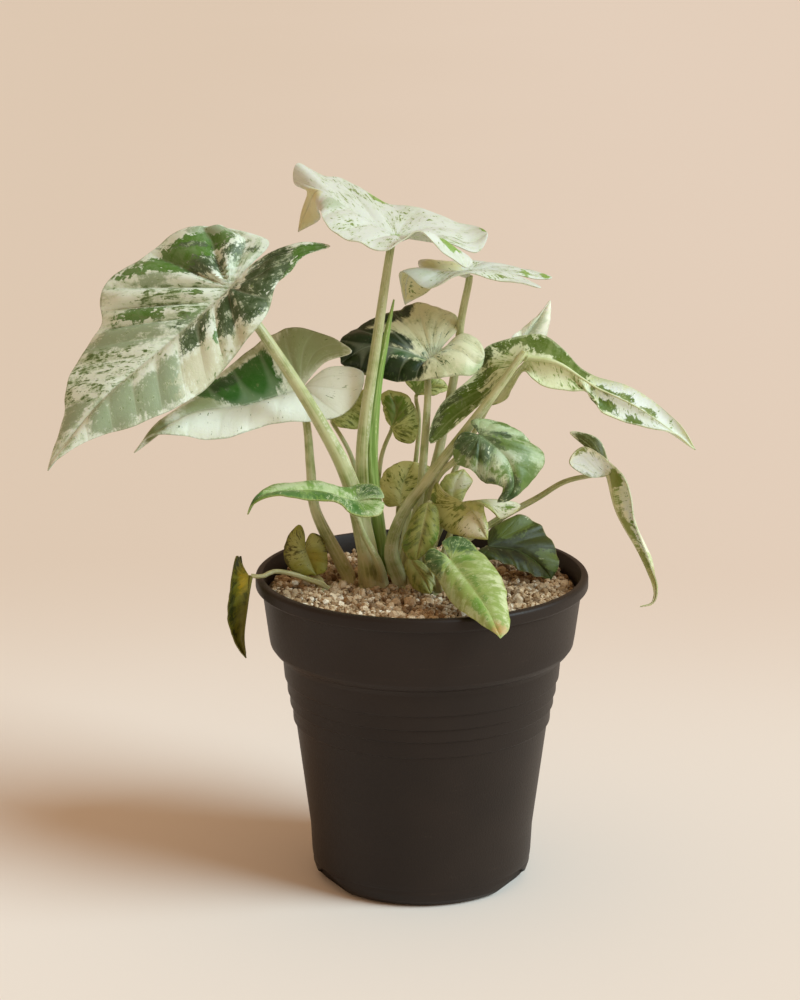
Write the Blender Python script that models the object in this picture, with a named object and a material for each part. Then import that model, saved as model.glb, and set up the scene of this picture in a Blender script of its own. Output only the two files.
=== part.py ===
"""A variegated alocasia in a round nursery pot.

Its pieces are the pot, the pumice that fills it, six crowns with the stalks that rise from each, a rolled new
leaf and twenty-two leaf blades. The origin is the middle of the pot's underside, +Z is up and the side that
faces the viewer is -Y. Sizes below are in millimetres and angles in degrees.
"""

import math

import bmesh
import bpy
import numpy as np

MM = 0.001

# Blades
BLADE_THICKNESS = 0.8
LOBE_SIDES = 1.2
MOST_LOBE = 0.5
AHEAD = 0.02
FOOT_POWER = 1.15
CURVE_STEPS = 16
WAVE_SHIFT = 0.9
MERGE_DISTANCE = 0.01

# Stalks and the crowns they rise from
STALK_SIDES = 8
STALK_RINGS = 5
STALK_BOTTOM = 104.0
STALK_CLEAR = 5.0
STALK_GAP = 0.35
FACET_POINTS = 8
STALK_END_SHARE = 0.5
CROWN_SIDES = 12
CROWN_BOTTOM = 101.3
CROWN_TOP = 109.4
CROWN_ROUND = (1.5, 1.0)
# The middle and radius of each crown
CROWNS = {
    "left": (-27.5, 4.5, 3.2),
    "centre": (-17.5, 0.5, 6.2),
    "right": (-4.5, 2.0, 5.8),
    "front": (6.0, -8.0, 4.8),
    "back": (-11.0, 13.5, 3.8),
    "side": (-35.2, -2.6, 3.2),
}

# The rolled new leaf, which stands on the centre crown
ROLLED_LINE = (
    (-14.3, 2.7, 110.2), (-15, 5.5, 125), (-18, 7.5, 147), (-18, 6.5, 162), (-16, 4, 182), (-13, 3.2, 198),
    (-10, 3, 213),
)
ROLLED_RADII = (1.8, 2.6, 2.9, 2.7, 2.0, 1.3, 0.3)
ROLLED_SIDES = 10

# Pot: radii and heights of its outline
POT_TOP = 114.0
POT_WALL = 1.2
POT_FLOOR = 1.5
POT_STEPS = 44
LIP_RADIUS = 60.0
LIP_HEIGHT = 5.0
LIP_ROUND = 1.4
LIP_EDGE = 0.8
COLLAR = ((57.7, 108.9), (55.4, 91.3))
STEP = ((54.9, 88.4), (53.4, 86.3), (51.3, 85.2), (50.5, 83.3))
WALL_TAPER = ((50.5, 83.3), (45.9, 58.9), (40.8, 19.0), (40.3, 9.0))
RIDGES = (75.2, 69.7, 65.0, 58.9)
RIDGE_PROUD = 0.5
RIDGE_SLOPE = 0.6
FOOT = ((40.3, 9.0), (39.9, 5.0), (39.0, 2.2), (37.6, 0.6), (36.2, 0.0))
LEDGE = ((38.9, 9.2), (34.0, 7.4))
FLOOR_RADIUS = 33.6
NOTCH_ANGLES = (-151.0, -29.0, 90.0)
NOTCH_RADIUS = 17.0
NOTCH_HEIGHT = 6.0
NOTCH_DEPTH_FROM = 35.4
NOTCH_LENGTH = 10.0
NOTCH_SIDES = 48

# Pumice
FILL_HEIGHT = 107.0
FILL_MOUND = 1.2
FILL_BUMP = 0.6
FILL_GAP = 0.5
FILL_RINGS = 9
FILL_STEPS = 32
FILL_SEED = 7
HOLE_BOTTOM = 101.0
HOLE_CLEARANCE = 0.6

# Colours and roughness
COLOURS = {
    "pot": (0.036, 0.027, 0.022),
    "pumice": (0.52, 0.40, 0.30),
    "stems_left": (0.42, 0.43, 0.17),
    "stems_centre": (0.55, 0.56, 0.32),
    "stems_right": (0.42, 0.43, 0.19),
    "stems_front": (0.45, 0.46, 0.20),
    "stems_back": (0.36, 0.30, 0.16),
    "stems_side": (0.42, 0.45, 0.24),
    "leaf_rolled": (0.25, 0.42, 0.07),
    "leaf_big_left": (0.36, 0.41, 0.29),
    "leaf_low_left": (0.47, 0.49, 0.35),
    "leaf_top_white": (0.66, 0.69, 0.54),
    "leaf_top_right": (0.60, 0.62, 0.44),
    "leaf_centre_dark": (0.26, 0.30, 0.18),
    "leaf_big_right": (0.34, 0.40, 0.20),
    "leaf_small_dark": (0.16, 0.25, 0.12),
    "leaf_far_right": (0.30, 0.34, 0.18),
    "leaf_front_left": (0.22, 0.35, 0.13),
    "leaf_pot_left": (0.20, 0.21, 0.05),
    "leaf_hanging_left": (0.15, 0.14, 0.02),
    "leaf_front_right": (0.24, 0.37, 0.14),
    "leaf_pot_right": (0.07, 0.12, 0.04),
    "leaf_cream_front": (0.46, 0.45, 0.25),
    "leaf_cream_up": (0.42, 0.42, 0.19),
    "leaf_cream_low": (0.34, 0.36, 0.18),
    "leaf_cream_curl": (0.36, 0.34, 0.17),
    "leaf_back_speckled": (0.36, 0.30, 0.17),
    "leaf_back_cream": (0.38, 0.30, 0.14),
    "leaf_back_round": (0.36, 0.34, 0.18),
    "leaf_back_small": (0.34, 0.32, 0.12),
    "leaf_back_pale": (0.56, 0.60, 0.46),
}
ROUGHNESS = {"pot": 0.55, "pumice": 0.95}
LEAF_ROUGHNESS = 0.45


class Leaf:
    """A leaf blade and its stalk, by points (x, y, z) in millimetres.

    midrib runs from the join with the stalk to the tip. right and left are the blade's edges as seen from the
    join with the upper side up: from the notch round the back lobe and forward, without join and tip. The
    first points of an edge, as many as back says, belong to the lobe, and the farthest of them is its tip.
    bulge is how far each half bows up, wave the height, count and phase of its ruffle.
    grid is how many rows the blade has along it and how many columns each half has.
    stems names the crown. stalk starts in it and ends below the blade; radii are those of the stalk's ends.
    """

    def __init__(self, midrib, right, left, back, bulge, wave, grid, stems, stalk, radii):
        self.midrib = midrib
        self.edges = (right, left)
        self.back = back
        self.bulge = bulge
        self.wave = wave
        self.grid = grid
        self.stems = stems
        self.stalk = stalk
        self.radii = radii


# The leaves, the large outer ones first
LEAVES = {
    "big_left": Leaf(
        midrib=((-67, -12, 220), (-90, -23, 201), (-111, -32, 184), (-129, -38, 161)),
        right=(
            (-60, -8, 228), (-54, 0, 235), (-70, 5, 238), (-86, 6, 237), (-99, 4, 228),
            (-112, -1, 217), (-114, -6, 206), (-121, -14, 193), (-125, -28, 177),
        ),
        left=(
            (-56, -10, 228), (-32, -14, 234), (-42, -16, 230), (-52, -19, 222), (-54, -24, 210),
            (-68, -28, 196), (-77, -32, 186), (-94, -36, 178), (-112, -38, 173), (-124, -39, 166),
        ),
        back=(3, 3), bulge=(1.5, 3.0), wave=(1.5, 3, 0.1), grid=(22, 3),
        stems="centre", radii=(3.6, 1.6),
        stalk=((-18, -1.5, 107), (-25, -6, 146), (-36, -8, 171), (-55, -12, 203)),
    ),
    "low_left": Leaf(
        midrib=((-43, 8, 180), (-63, 3, 175), (-83, -3, 173), (-102, -8, 160)),
        right=(
            (-35, 8, 189), (-25, 2, 195), (-42, 16, 200), (-58, 22, 195), (-71, 18, 184),
            (-82, 10, 177), (-93, 0, 170),
        ),
        left=(
            (-33, 6, 188), (-21, 5, 186), (-25, 2, 174), (-37, 1, 169), (-51, -3, 170), (-69, -9, 165),
            (-85, -11, 167), (-96, -10, 166),
        ),
        back=(2, 3), bulge=(2.0, 2.0), wave=(1.2, 3, 0.4), grid=(16, 3),
        stems="left", radii=(2.7, 1.2),
        stalk=((-27.5, 4.5, 107), (-27, 5, 111), (-38, 7, 134), (-40, 8, 150), (-41, 8, 164)),
    ),
    "top_white": Leaf(
        midrib=((-9, 0, 236), (-24, 4, 244), (-37, 8, 252), (-42, 13, 246), (-44, 15, 235)),
        right=(
            (8, 8, 239), (22, 14, 236), (6, 22, 240), (-14, 27, 245), (-32, 27, 253), (-45, 22, 259),
            (-44, 24, 250),
        ),
        left=(
            (6, -6, 236), (15, -12, 227), (3, -16, 234), (-4, -18, 241), (-17, -23, 235),
            (-31, -18, 241), (-37, -6, 250),
        ),
        back=(2, 3), bulge=(2.0, 2.0), wave=(1.0, 4, 0.2), grid=(18, 3),
        stems="centre", radii=(3.1, 1.4),
        stalk=((-20, 2, 107), (-21, 1, 138), (-21, 0, 163), (-16, 0, 199)),
    ),
    "top_right": Leaf(
        midrib=((17, 14, 221), (5, 13, 222), (-5, 12, 220), (-6, 14, 209)),
        right=(
            (31, 18, 222), (46, 22, 218), (28, 28, 221), (12, 28, 222), (-1, 24, 223), (4, 20, 215),
        ),
        left=((28, 8, 220), (40, 4, 217), (27, 2, 221), (13, 0, 222), (1, 0, 218), (-8, 4, 222)),
        back=(2, 3), bulge=(1.5, 1.5), wave=(0.8, 3, 0.0), grid=(16, 3),
        stems="right", radii=(2.2, 1.3),
        stalk=((-3, 5, 107), (1, 9, 131), (7, 12, 160), (12, 16, 185), (14, 16, 203)),
    ),
    "centre_dark": Leaf(
        midrib=((4, 10, 189), (-8, 9, 194), (-19, 9, 195), (-29, 8, 189)),
        right=(
            (10, 16, 198), (11, 20, 206), (1, 26, 207), (-8, 26, 206), (-19, 20, 202), (-28, 12, 198),
        ),
        left=(
            (15, 11, 197), (23, 6, 193), (18, 2, 185), (6, -1, 186), (-3, 2, 183), (-13, 8, 183),
            (-24, 8, 186),
        ),
        back=(2, 3), bulge=(2.0, 3.0), wave=(1.0, 3, 0.5), grid=(18, 3),
        stems="right", radii=(2.0, 1.2),
        stalk=((-6, 4, 107), (-1, 6, 139), (1, 7, 161), (2, 8, 177)),
    ),
    "big_right": Leaf(
        midrib=((36, -6, 193), (47, -9, 192), (59, -11, 185), (76, -13, 177), (96, -16, 163)),
        right=(
            (17, 2, 172), (3, 2, 161), (6, 5, 174), (20, 9, 186), (23, 10, 195), (40, 10, 199),
            (50, 4, 195), (61, -5, 187), (77, -7, 182), (90, -13, 172),
        ),
        left=(
            (24, 2, 176), (30, -1, 178), (35, -6, 189), (42, -12, 185), (51, -14, 184), (59, -13, 183),
            (63, -15, 176), (76, -17, 172), (88, -17, 169),
        ),
        back=(5, 3), bulge=(1.5, 1.5), wave=(0.8, 4, 0.0), grid=(22, 3),
        stems="right", radii=(2.7, 1.3),
        stalk=((-7, 1, 107), (-11, -3, 123), (-7, -5, 137), (2, -6, 150), (24, -9, 180)),
    ),
    "small_dark": Leaf(
        midrib=((20, -18, 169), (29, -22, 162), (32, -25, 154), (30, -27, 149), (26, -27, 147)),
        right=(
            (14, -15, 169), (11, -17, 164), (12, -20, 159), (17, -22, 157), (22, -24, 153),
            (28, -26, 152),
        ),
        left=(
            (17, -14, 173), (24, -13, 173), (34, -13, 169), (43, -16, 160), (38, -22, 153),
            (33, -25, 149),
        ),
        back=(2, 2), bulge=(2.0, 2.0), wave=(0.8, 3, 0.3), grid=(16, 3),
        stems="right", radii=(1.9, 1.0),
        stalk=((-3, -1, 107), (-2, 0, 118), (4, -4, 147), (11, -9, 157), (17, -12, 163)),
    ),
    "far_right": Leaf(
        midrib=(
            (67, -4, 152), (72, -7, 138), (80, -9, 124), (84, -10, 112), (83, -10, 105),
            (78, -11, 104),
        ),
        right=(
            (59, -8, 153), (52, -11, 158), (58, -9, 163), (66, -7, 156), (72, -11, 149),
            (77, -13, 134), (83, -12, 120),
        ),
        left=(
            (60, 3, 158), (53, 7, 164), (63, 5, 162), (68, 3, 152), (74, 1, 140), (79, -3, 127),
            (84, -6, 115),
        ),
        back=(3, 3), bulge=(1.0, 1.0), wave=(0.5, 3, 0.0), grid=(16, 2),
        stems="right", radii=(1.8, 0.8),
        stalk=(
            (-1, 2, 107), (10, 5, 120), (28, 3, 133), (41, 1, 141), (51, -2, 148), (62, -4, 151),
        ),
    ),
    "front_left": Leaf(
        midrib=(
            (-23, -18, 145), (-38, -22, 150), (-52, -26, 150), (-58, -28, 148), (-61, -29, 143),
        ),
        right=(
            (-16, -14, 148), (-21, -10, 149), (-29, -10, 148), (-40, -13, 151), (-52, -20, 151),
            (-58, -26, 149),
        ),
        left=(
            (-15, -24, 143), (-21, -27, 142), (-29, -29, 147), (-42, -31, 149), (-53, -31, 150),
            (-59, -30, 147),
        ),
        back=(2, 2), bulge=(1.0, 1.0), wave=(0.5, 3, 0.0), grid=(16, 3),
        stems="centre", radii=(1.6, 0.9),
        stalk=((-14, -2, 107), (-16, -8, 120), (-21, -11, 131), (-23, -15, 138)),
    ),
    "pot_left": Leaf(
        midrib=((-42, 1, 122), (-40, 0, 117), (-38, -1, 113)),
        right=((-42, 2, 128), (-44, 3, 131), (-49, 2, 124), (-49, 0, 118), (-45, -1, 113)),
        left=((-41, 2, 126), (-39, 3, 128), (-35, 3, 122), (-34, 1, 116), (-35, -1, 114)),
        back=(2, 2), bulge=(1.0, 1.0), wave=(0.3, 2, 0.0), grid=(12, 2),
        stems="side", radii=(1.3, 0.8),
        stalk=((-36, -1.5, 107), (-38, 2, 111), (-40, 4, 115)),
    ),
    "hanging_left": Leaf(
        midrib=((-62, -12, 116), (-63, -13, 105), (-64, -14, 94), (-63, -15, 86)),
        right=((-64, -9, 119), (-65, -8, 122), (-68, -7, 111), (-69, -8, 101), (-66, -12, 92)),
        left=((-64, -15, 121), (-66, -15, 124), (-68, -19, 114), (-69, -20, 105), (-67, -18, 93)),
        back=(2, 2), bulge=(1.0, 1.0), wave=(0.4, 2, 0.0), grid=(12, 2),
        stems="side", radii=(1.2, 0.8),
        stalk=((-34.5, -4, 107), (-42, -6, 114), (-50, -8, 117), (-56, -10, 118)),
    ),
    "front_right": Leaf(
        midrib=((10, -31, 127), (16, -47, 123), (22, -62, 118), (26, -71, 111)),
        right=(
            (5, -27, 127), (2, -27, 125), (6, -38, 121), (10, -50, 117), (17, -62, 115),
            (23, -69, 113),
        ),
        left=(
            (10, -24, 130), (13, -20, 132), (21, -27, 128), (27, -40, 124), (29, -56, 118),
            (29, -66, 113),
        ),
        back=(2, 2), bulge=(1.5, 1.5), wave=(0.5, 3, 0.3), grid=(16, 3),
        stems="front", radii=(1.6, 0.9),
        stalk=((7, -10, 107), (6, -16, 120), (8, -24, 124)),
    ),
    "pot_right": Leaf(
        midrib=((24, 6, 122), (34, 8, 120), (42, 8, 115), (47, 7, 109)),
        right=((20, 2, 121), (19, 1, 118), (27, 0, 118), (36, 1, 114), (42, 3, 111)),
        left=((24, 12, 125), (28, 16, 127), (37, 19, 130), (46, 18, 123), (50, 11, 114)),
        back=(2, 2), bulge=(1.0, 1.0), wave=(0.6, 5, 0.0), grid=(14, 3),
        stems="front", radii=(1.5, 0.9),
        stalk=((8, -6, 107), (13, 0, 116), (18, 4, 118)),
    ),
    "cream_front": Leaf(
        midrib=((14, -11, 143), (19, -17, 139), (23, -22, 132)),
        right=((8, -9, 146), (5, -8, 149), (3, -9, 141), (8, -13, 133), (16, -19, 132)),
        left=((26, -8, 143), (35, -5, 140), (28, -9, 136), (22, -16, 143), (23, -20, 137)),
        back=(2, 3), bulge=(1.5, 1.5), wave=(0.5, 3, 0.0), grid=(14, 3),
        stems="front", radii=(1.5, 0.9),
        stalk=((6, -6, 107), (8, -5, 123), (12, -7, 135)),
    ),
    "cream_up": Leaf(
        midrib=((11, -3, 142), (12, 0, 147), (15, 4, 151)),
        right=((14, -3, 141), (16, 0, 144), (18, 3, 147)),
        left=((8, -2, 142), (6, 0, 145), (9, 3, 149)),
        back=(1, 1), bulge=(0.8, 0.8), wave=(0.3, 2, 0.0), grid=(10, 2),
        stems="front", radii=(1.3, 0.8),
        stalk=((4, -6, 107), (4, -4, 123), (9, -2, 136)),
    ),
    "cream_low": Leaf(
        midrib=((2, -16, 144), (0, -19, 135), (-2, -20, 124)),
        right=((-1, -15, 142), (-5, -15, 135), (-7, -16, 128), (-5, -18, 124)),
        left=((5, -16, 142), (6, -18, 135), (4, -20, 129)),
        back=(1, 1), bulge=(1.0, 1.0), wave=(0.4, 2, 0.0), grid=(12, 2),
        stems="front", radii=(1.3, 0.8),
        stalk=((4, -8, 107), (1, -9, 123), (2, -10, 136)),
    ),
    "cream_curl": Leaf(
        midrib=((-5, -12, 123), (0, -15, 117), (3, -18, 111)),
        right=((-6, -11, 119), (-4, -13, 113), (0, -17, 111)),
        left=((0, -13, 121), (3, -14, 118), (4, -16, 114)),
        back=(1, 1), bulge=(0.8, 0.8), wave=(0.3, 2, 0.0), grid=(10, 2),
        stems="front", radii=(1.1, 0.7),
        stalk=((4, -10, 107), (-3, -10, 114)),
    ),
    "back_speckled": Leaf(
        midrib=((-11, 22, 162), (-9, 24, 168), (-12, 27, 175)),
        right=((-9, 20, 158), (-3, 21, 157), (-1, 23, 165), (-5, 26, 173)),
        left=((-13, 23, 165), (-14, 25, 169), (-15, 27, 173)),
        back=(2, 1), bulge=(1.0, 1.0), wave=(0.5, 2, 0.0), grid=(10, 2),
        stems="back", radii=(1.2, 0.7),
        stalk=((-12, 15, 107), (-16, 18, 128), (-15, 24, 149)),
    ),
    "back_cream": Leaf(
        midrib=((-32, 16, 166), (-26, 18, 170), (-19, 21, 176)),
        right=((-30, 15, 164), (-23, 17, 163), (-19, 20, 169)),
        left=((-34, 17, 167), (-29, 19, 171), (-22, 22, 176)),
        back=(1, 1), bulge=(1.0, 1.0), wave=(0.5, 2, 0.0), grid=(10, 2),
        stems="back", radii=(1.2, 0.7),
        stalk=((-13, 13, 107), (-21, 15, 137), (-26, 19, 153)),
    ),
    "back_round": Leaf(
        midrib=((-8, 13, 135), (-7, 16, 142), (-3, 19, 150)),
        right=((-4, 14, 134), (2, 17, 138), (4, 19, 147)),
        left=((-13, 14, 135), (-15, 16, 141), (-14, 18, 146), (-8, 19, 150)),
        back=(1, 1), bulge=(1.0, 1.0), wave=(0.5, 2, 0.0), grid=(10, 2),
        stems="back", radii=(1.2, 0.7),
        stalk=((-10, 12, 107), (-9, 18, 119)),
    ),
    "back_small": Leaf(
        midrib=((-2, 24, 174), (4, 26, 176), (10, 28, 175)),
        right=((1, 23, 174), (6, 24, 174)),
        left=((-6, 25, 179), (-1, 27, 181), (7, 28, 179)),
        back=(1, 1), bulge=(0.8, 0.8), wave=(0.3, 2, 0.0), grid=(10, 2),
        stems="back", radii=(1.2, 0.7),
        stalk=((-9, 14, 107), (-5, 20, 128), (-1, 27, 160)),
    ),
    "back_pale": Leaf(
        midrib=((35, 14, 194), (40, 16, 201), (46, 18, 210)),
        right=((39, 14, 193), (44, 15, 196), (46, 17, 204)),
        left=((32, 14, 197), (36, 16, 200), (42, 17, 205)),
        back=(1, 1), bulge=(0.8, 0.8), wave=(0.3, 2, 0.0), grid=(10, 2),
        stems="right", radii=(1.3, 0.8),
        stalk=((-1, 4, 107), (7, 9, 138), (21, 12, 167), (31, 14, 184)),
    ),
}


def unit(vectors):
    """The vectors at length one."""
    vectors = np.asarray(vectors, float)
    return vectors / np.maximum(np.linalg.norm(vectors, axis=-1, keepdims=True), 1e-9)


def line_shares(line):
    """For each point of a line, the share of its length up to there."""
    lengths = np.linalg.norm(np.diff(line, axis=0), axis=1)
    return np.concatenate([[0], np.cumsum(lengths)]) / lengths.sum()


def smooth_through(points):
    """A smooth line through the points and, for each of its points, the share of its length up to there."""
    p = np.asarray(points, float)
    p = np.vstack([2 * p[0] - p[1], p, 2 * p[-1] - p[-2]])
    rows = []
    for a, b, c, d in zip(p, p[1:], p[2:], p[3:]):
        for t in np.arange(CURVE_STEPS) / CURVE_STEPS:
            square = 2 * a - 5 * b + 4 * c - d
            cube = 3 * b - a - 3 * c + d
            rows.append(0.5 * (2 * b + (c - a) * t + square * t**2 + cube * t**3))
    rows.append(p[-2])
    line = np.array(rows)
    return line, line_shares(line)


def line_length(line):
    """The length of a line of points."""
    return float(np.linalg.norm(np.diff(line, axis=0), axis=1).sum())


def point_on(line, shares, share):
    """Points of a line at the given shares of its length."""
    return np.stack([np.interp(share, shares, line[:, k]) for k in range(3)], -1)


def lobe_tip(leaf, half):
    """The number of the edge point where the back lobe ends: of the lobe's points, the farthest from the join."""
    lobe = np.array(leaf.edges[half][: leaf.back[half]], float)
    return int(np.linalg.norm(lobe - leaf.midrib[0], axis=1).argmax())


def half_lines(leaf, half):
    """The two sides of one half and where the join comes on them: (inner, shares, at), (outer, shares, at).

    The inner side runs from the lobe's tip along the notch to the join, and on along the midrib. The outer side
    runs from the lobe's tip along the edge. Both end at the leaf's tip.
    """
    edge, shares = smooth_through((leaf.midrib[0], *leaf.edges[half], leaf.midrib[-1]))
    corner = (lobe_tip(leaf, half) + 1) * CURVE_STEPS
    notch = edge[: corner + 1][::-1]
    outer = edge[corner:]
    midrib, midrib_shares = smooth_through(leaf.midrib)
    join_at = min(LOBE_SIDES * line_length(notch) / line_length(outer), MOST_LOBE)
    return (notch, midrib, midrib_shares), (outer, line_shares(outer), join_at)


def join_share(leaf):
    """How far from the lobes' tips to the leaf's tip the join comes, as a share of the blade's rows."""
    rows = leaf.grid[0]
    return max(1, round(rows * np.mean([half_lines(leaf, half)[1][2] for half in (0, 1)]))) / rows


def half_blade(leaf, half, u, v):
    """Middle surface of a half (0 right, 1 left): u runs from the lobe's tip to the leaf's, v out to the edge."""
    (notch, midrib, midrib_shares), (outer, outer_shares, outer_join) = half_lines(leaf, half)
    join = join_share(leaf)
    back = np.clip(u / join, 0, 1)
    forward = np.clip((u - join) / (1 - join), 0, 1)
    foot = np.where(
        (u < join)[..., None],
        point_on(notch, line_shares(notch), back),
        point_on(midrib, midrib_shares, forward**FOOT_POWER),
    )
    around = outer_join * back + (1 - outer_join) * forward
    rim = point_on(outer, outer_shares, around)
    ahead = point_on(outer, outer_shares, np.minimum(around + AHEAD, 1)) - point_on(
        outer, outer_shares, np.maximum(around - AHEAD, 0)
    )
    up = unit(np.cross(rim - foot, ahead)) * (1 if half == 0 else -1)
    height, count, phase = leaf.wave
    ruffle = height * v**2 * np.sin(2 * math.pi * (count * u + phase) + WAVE_SHIFT * half)
    bow = 4 * leaf.bulge[half] * v * (1 - v)
    ends = np.sin(math.pi * np.clip(u, 0, 1)) ** 0.7
    return foot + v[..., None] * (rim - foot) + (ends * (bow + ruffle))[..., None] * up


def join_up(leaf):
    """The way the upper side looks at the join with the stalk."""
    join = join_share(leaf)
    near = np.array([join, join, join + 0.08])
    total = np.zeros(3)
    for half in (0, 1):
        middle, out, ahead = half_blade(leaf, half, near, np.array([0.0, 0.25, 0.0]))
        total += unit(np.cross(out - middle, ahead - middle)) * (1 if half == 0 else -1)
    return unit(total)


def new_object(name, bm):
    """A named object made of the bmesh, whose coordinates are millimetres, with its own material."""
    bmesh.ops.scale(bm, vec=(MM, MM, MM), verts=bm.verts)
    mesh = bpy.data.meshes.new(name)
    bm.to_mesh(mesh)
    bm.free()
    obj = bpy.data.objects.new(name, mesh)
    bpy.context.scene.collection.objects.link(obj)
    return obj


def paint(obj):
    """Give the object its own plain material."""
    material = bpy.data.materials.new(obj.name)
    material.use_nodes = True
    shader = material.node_tree.nodes["Principled BSDF"]
    shader.inputs["Base Color"].default_value = (*COLOURS[obj.name], 1)
    shader.inputs["Roughness"].default_value = ROUGHNESS.get(obj.name, LEAF_ROUGHNESS)
    shader.inputs["Metallic"].default_value = 0
    obj.data.materials.clear()
    obj.data.materials.append(material)


def apply_modifiers(obj):
    """Make the modifiers' result the object's own mesh."""
    bpy.context.view_layer.update()
    result = bpy.data.meshes.new_from_object(obj.evaluated_get(bpy.context.evaluated_depsgraph_get()))
    old = obj.data
    obj.modifiers.clear()
    obj.data = result
    bpy.data.meshes.remove(old)
    result.name = obj.name


def boolean(obj, operation, others, solver="EXACT"):
    """Join or cut the object with the other objects, then remove them."""
    tools = bpy.data.collections.new("tools")
    bpy.context.scene.collection.children.link(tools)
    for other in others:
        for owner in other.users_collection:
            owner.objects.unlink(other)
        tools.objects.link(other)
    modifier = obj.modifiers.new(operation.title(), "BOOLEAN")
    modifier.operation = operation
    modifier.operand_type = "COLLECTION"
    modifier.collection = tools
    modifier.solver = solver
    apply_modifiers(obj)
    for other in others:
        mesh = other.data
        bpy.data.objects.remove(other)
        bpy.data.meshes.remove(mesh)
    bpy.data.collections.remove(tools)


def make_blade(name, leaf):
    """One blade: a grid over each half, joined along the midrib, split into triangles and given its thickness."""
    rows, columns = leaf.grid
    bm = bmesh.new()
    for half in (0, 1):
        u, v = np.meshgrid(np.linspace(0, 1, rows + 1), np.linspace(0, 1, columns + 1), indexing="ij")
        points = half_blade(leaf, half, u.ravel(), v.ravel())
        verts = [bm.verts.new(point) for point in points]
        for i in range(rows):
            for j in range(columns):
                corner = i * (columns + 1) + j
                quad = [corner, corner + 1, corner + columns + 2, corner + columns + 1]
                bm.faces.new([verts[k] for k in (quad if half == 0 else quad[::-1])])
    bmesh.ops.remove_doubles(bm, verts=bm.verts, dist=MERGE_DISTANCE)
    bmesh.ops.triangulate(bm, faces=bm.faces)
    obj = new_object(name, bm)
    solid = obj.modifiers.new("Thickness", "SOLIDIFY")
    solid.thickness = BLADE_THICKNESS * MM
    solid.offset = 0
    for polygon in obj.data.polygons:
        polygon.use_smooth = True
    paint(obj)
    return obj


def tube_rings(points, radii, sides):
    """The rings of a tube along the points, with a radius at each."""
    along = unit(np.gradient(points, axis=0))
    side = unit(np.cross(along[0], (0, 1, 0)))
    angles = (2 * math.pi * np.arange(sides) / sides)[:, None]
    rings = []
    for point, direction, radius in zip(points, along, radii):
        side = unit(side - np.dot(side, direction) * direction)
        rings.append(point + radius * (np.cos(angles) * side + np.sin(angles) * np.cross(direction, side)))
    return np.array(rings)


def make_tube(name, points, radii, sides):
    """A closed tube along the points, with a radius at each."""
    bm = bmesh.new()
    rings = [[bm.verts.new(p) for p in ring] for ring in tube_rings(np.asarray(points, float), radii, sides)]
    for low, high in zip(rings, rings[1:]):
        for k in range(sides):
            bm.faces.new((low[k], low[(k + 1) % sides], high[(k + 1) % sides], high[k]))
    bm.faces.new(reversed(rings[0]))
    bm.faces.new(rings[-1])
    bmesh.ops.recalc_face_normals(bm, faces=bm.faces)
    bmesh.ops.triangulate(bm, faces=bm.faces)
    return new_object(name, bm)


def facet_points(leaf, half):
    """Points spread over the flat faces of one half, which lie a little inside its smooth surface."""
    rows, columns = leaf.grid
    u, v = np.meshgrid(np.linspace(0, 1, rows + 1), np.linspace(0, 1, columns + 1), indexing="ij")
    corners = half_blade(leaf, half, u, v)
    points = []
    for a in np.arange(FACET_POINTS) / FACET_POINTS:
        between = corners[:-1] * (1 - a) + corners[1:] * a
        for b in np.arange(FACET_POINTS + 1) / FACET_POINTS:
            points.append((between[:, :-1] * (1 - b) + between[:, 1:] * b).reshape(-1, 3))
    return np.vstack(points)


def stalk_line(leaf, up, end):
    """The stalk's line of points and its radii, from inside the crown to the given depth below the blade."""
    join = np.array(leaf.midrib[0], float)
    x, y, z = leaf.stalk[0]
    low = ((x, y, STALK_BOTTOM), (x, y, CROWN_TOP))
    line, shares = smooth_through((*low, *leaf.stalk[1:], join - up * STALK_CLEAR, join - up * end))
    share = np.linspace(0, 1, STALK_RINGS + len(leaf.stalk))
    share[1] = shares[CURVE_STEPS]
    share = np.append(share[:-1], (1 - (STALK_CLEAR / 2 - end) / line_length(line), 1))
    radii = leaf.radii[0] + (leaf.radii[1] - leaf.radii[0]) * share
    radii[-1] *= STALK_END_SHARE
    return point_on(line, shares, share), radii


def make_stalk(name, leaf):
    """A leaf's stalk, from inside the crown to just below the blade, as near as the gap to it allows."""
    blade = np.vstack([facet_points(leaf, half) for half in (0, 1)])
    up = join_up(leaf)
    clear = BLADE_THICKNESS / 2 + STALK_GAP
    end = clear
    while end < STALK_CLEAR / 2:
        points, radii = stalk_line(leaf, up, end)
        top = tube_rings(points, radii, STALK_SIDES)[-2:].reshape(-1, 1, 3)
        if np.linalg.norm(top - blade, axis=2).min() >= clear:
            break
        end += 0.05
    return make_tube(name, points, radii, STALK_SIDES)


def make_stems(name, crown, leaves):
    """A crown with its stalks, joined into one body."""
    x, y, radius = crown
    heights = (CROWN_BOTTOM, CROWN_TOP - CROWN_ROUND[0], CROWN_TOP)
    radii = (radius, radius, radius - CROWN_ROUND[1])
    stems = make_tube(name, [(x, y, z) for z in heights], radii, CROWN_SIDES)
    stalks = [make_stalk(f"{name}_{leaf_name}", leaf) for leaf_name, leaf in leaves.items()]
    boolean(stems, "UNION", stalks, "MANIFOLD")
    paint(stems)
    return stems


def wall_radius(height):
    """The plain wall's outer radius at a height, ridges left out."""
    radii, heights = zip(*reversed(WALL_TAPER))
    return float(np.interp(height, heights, radii))


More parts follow.
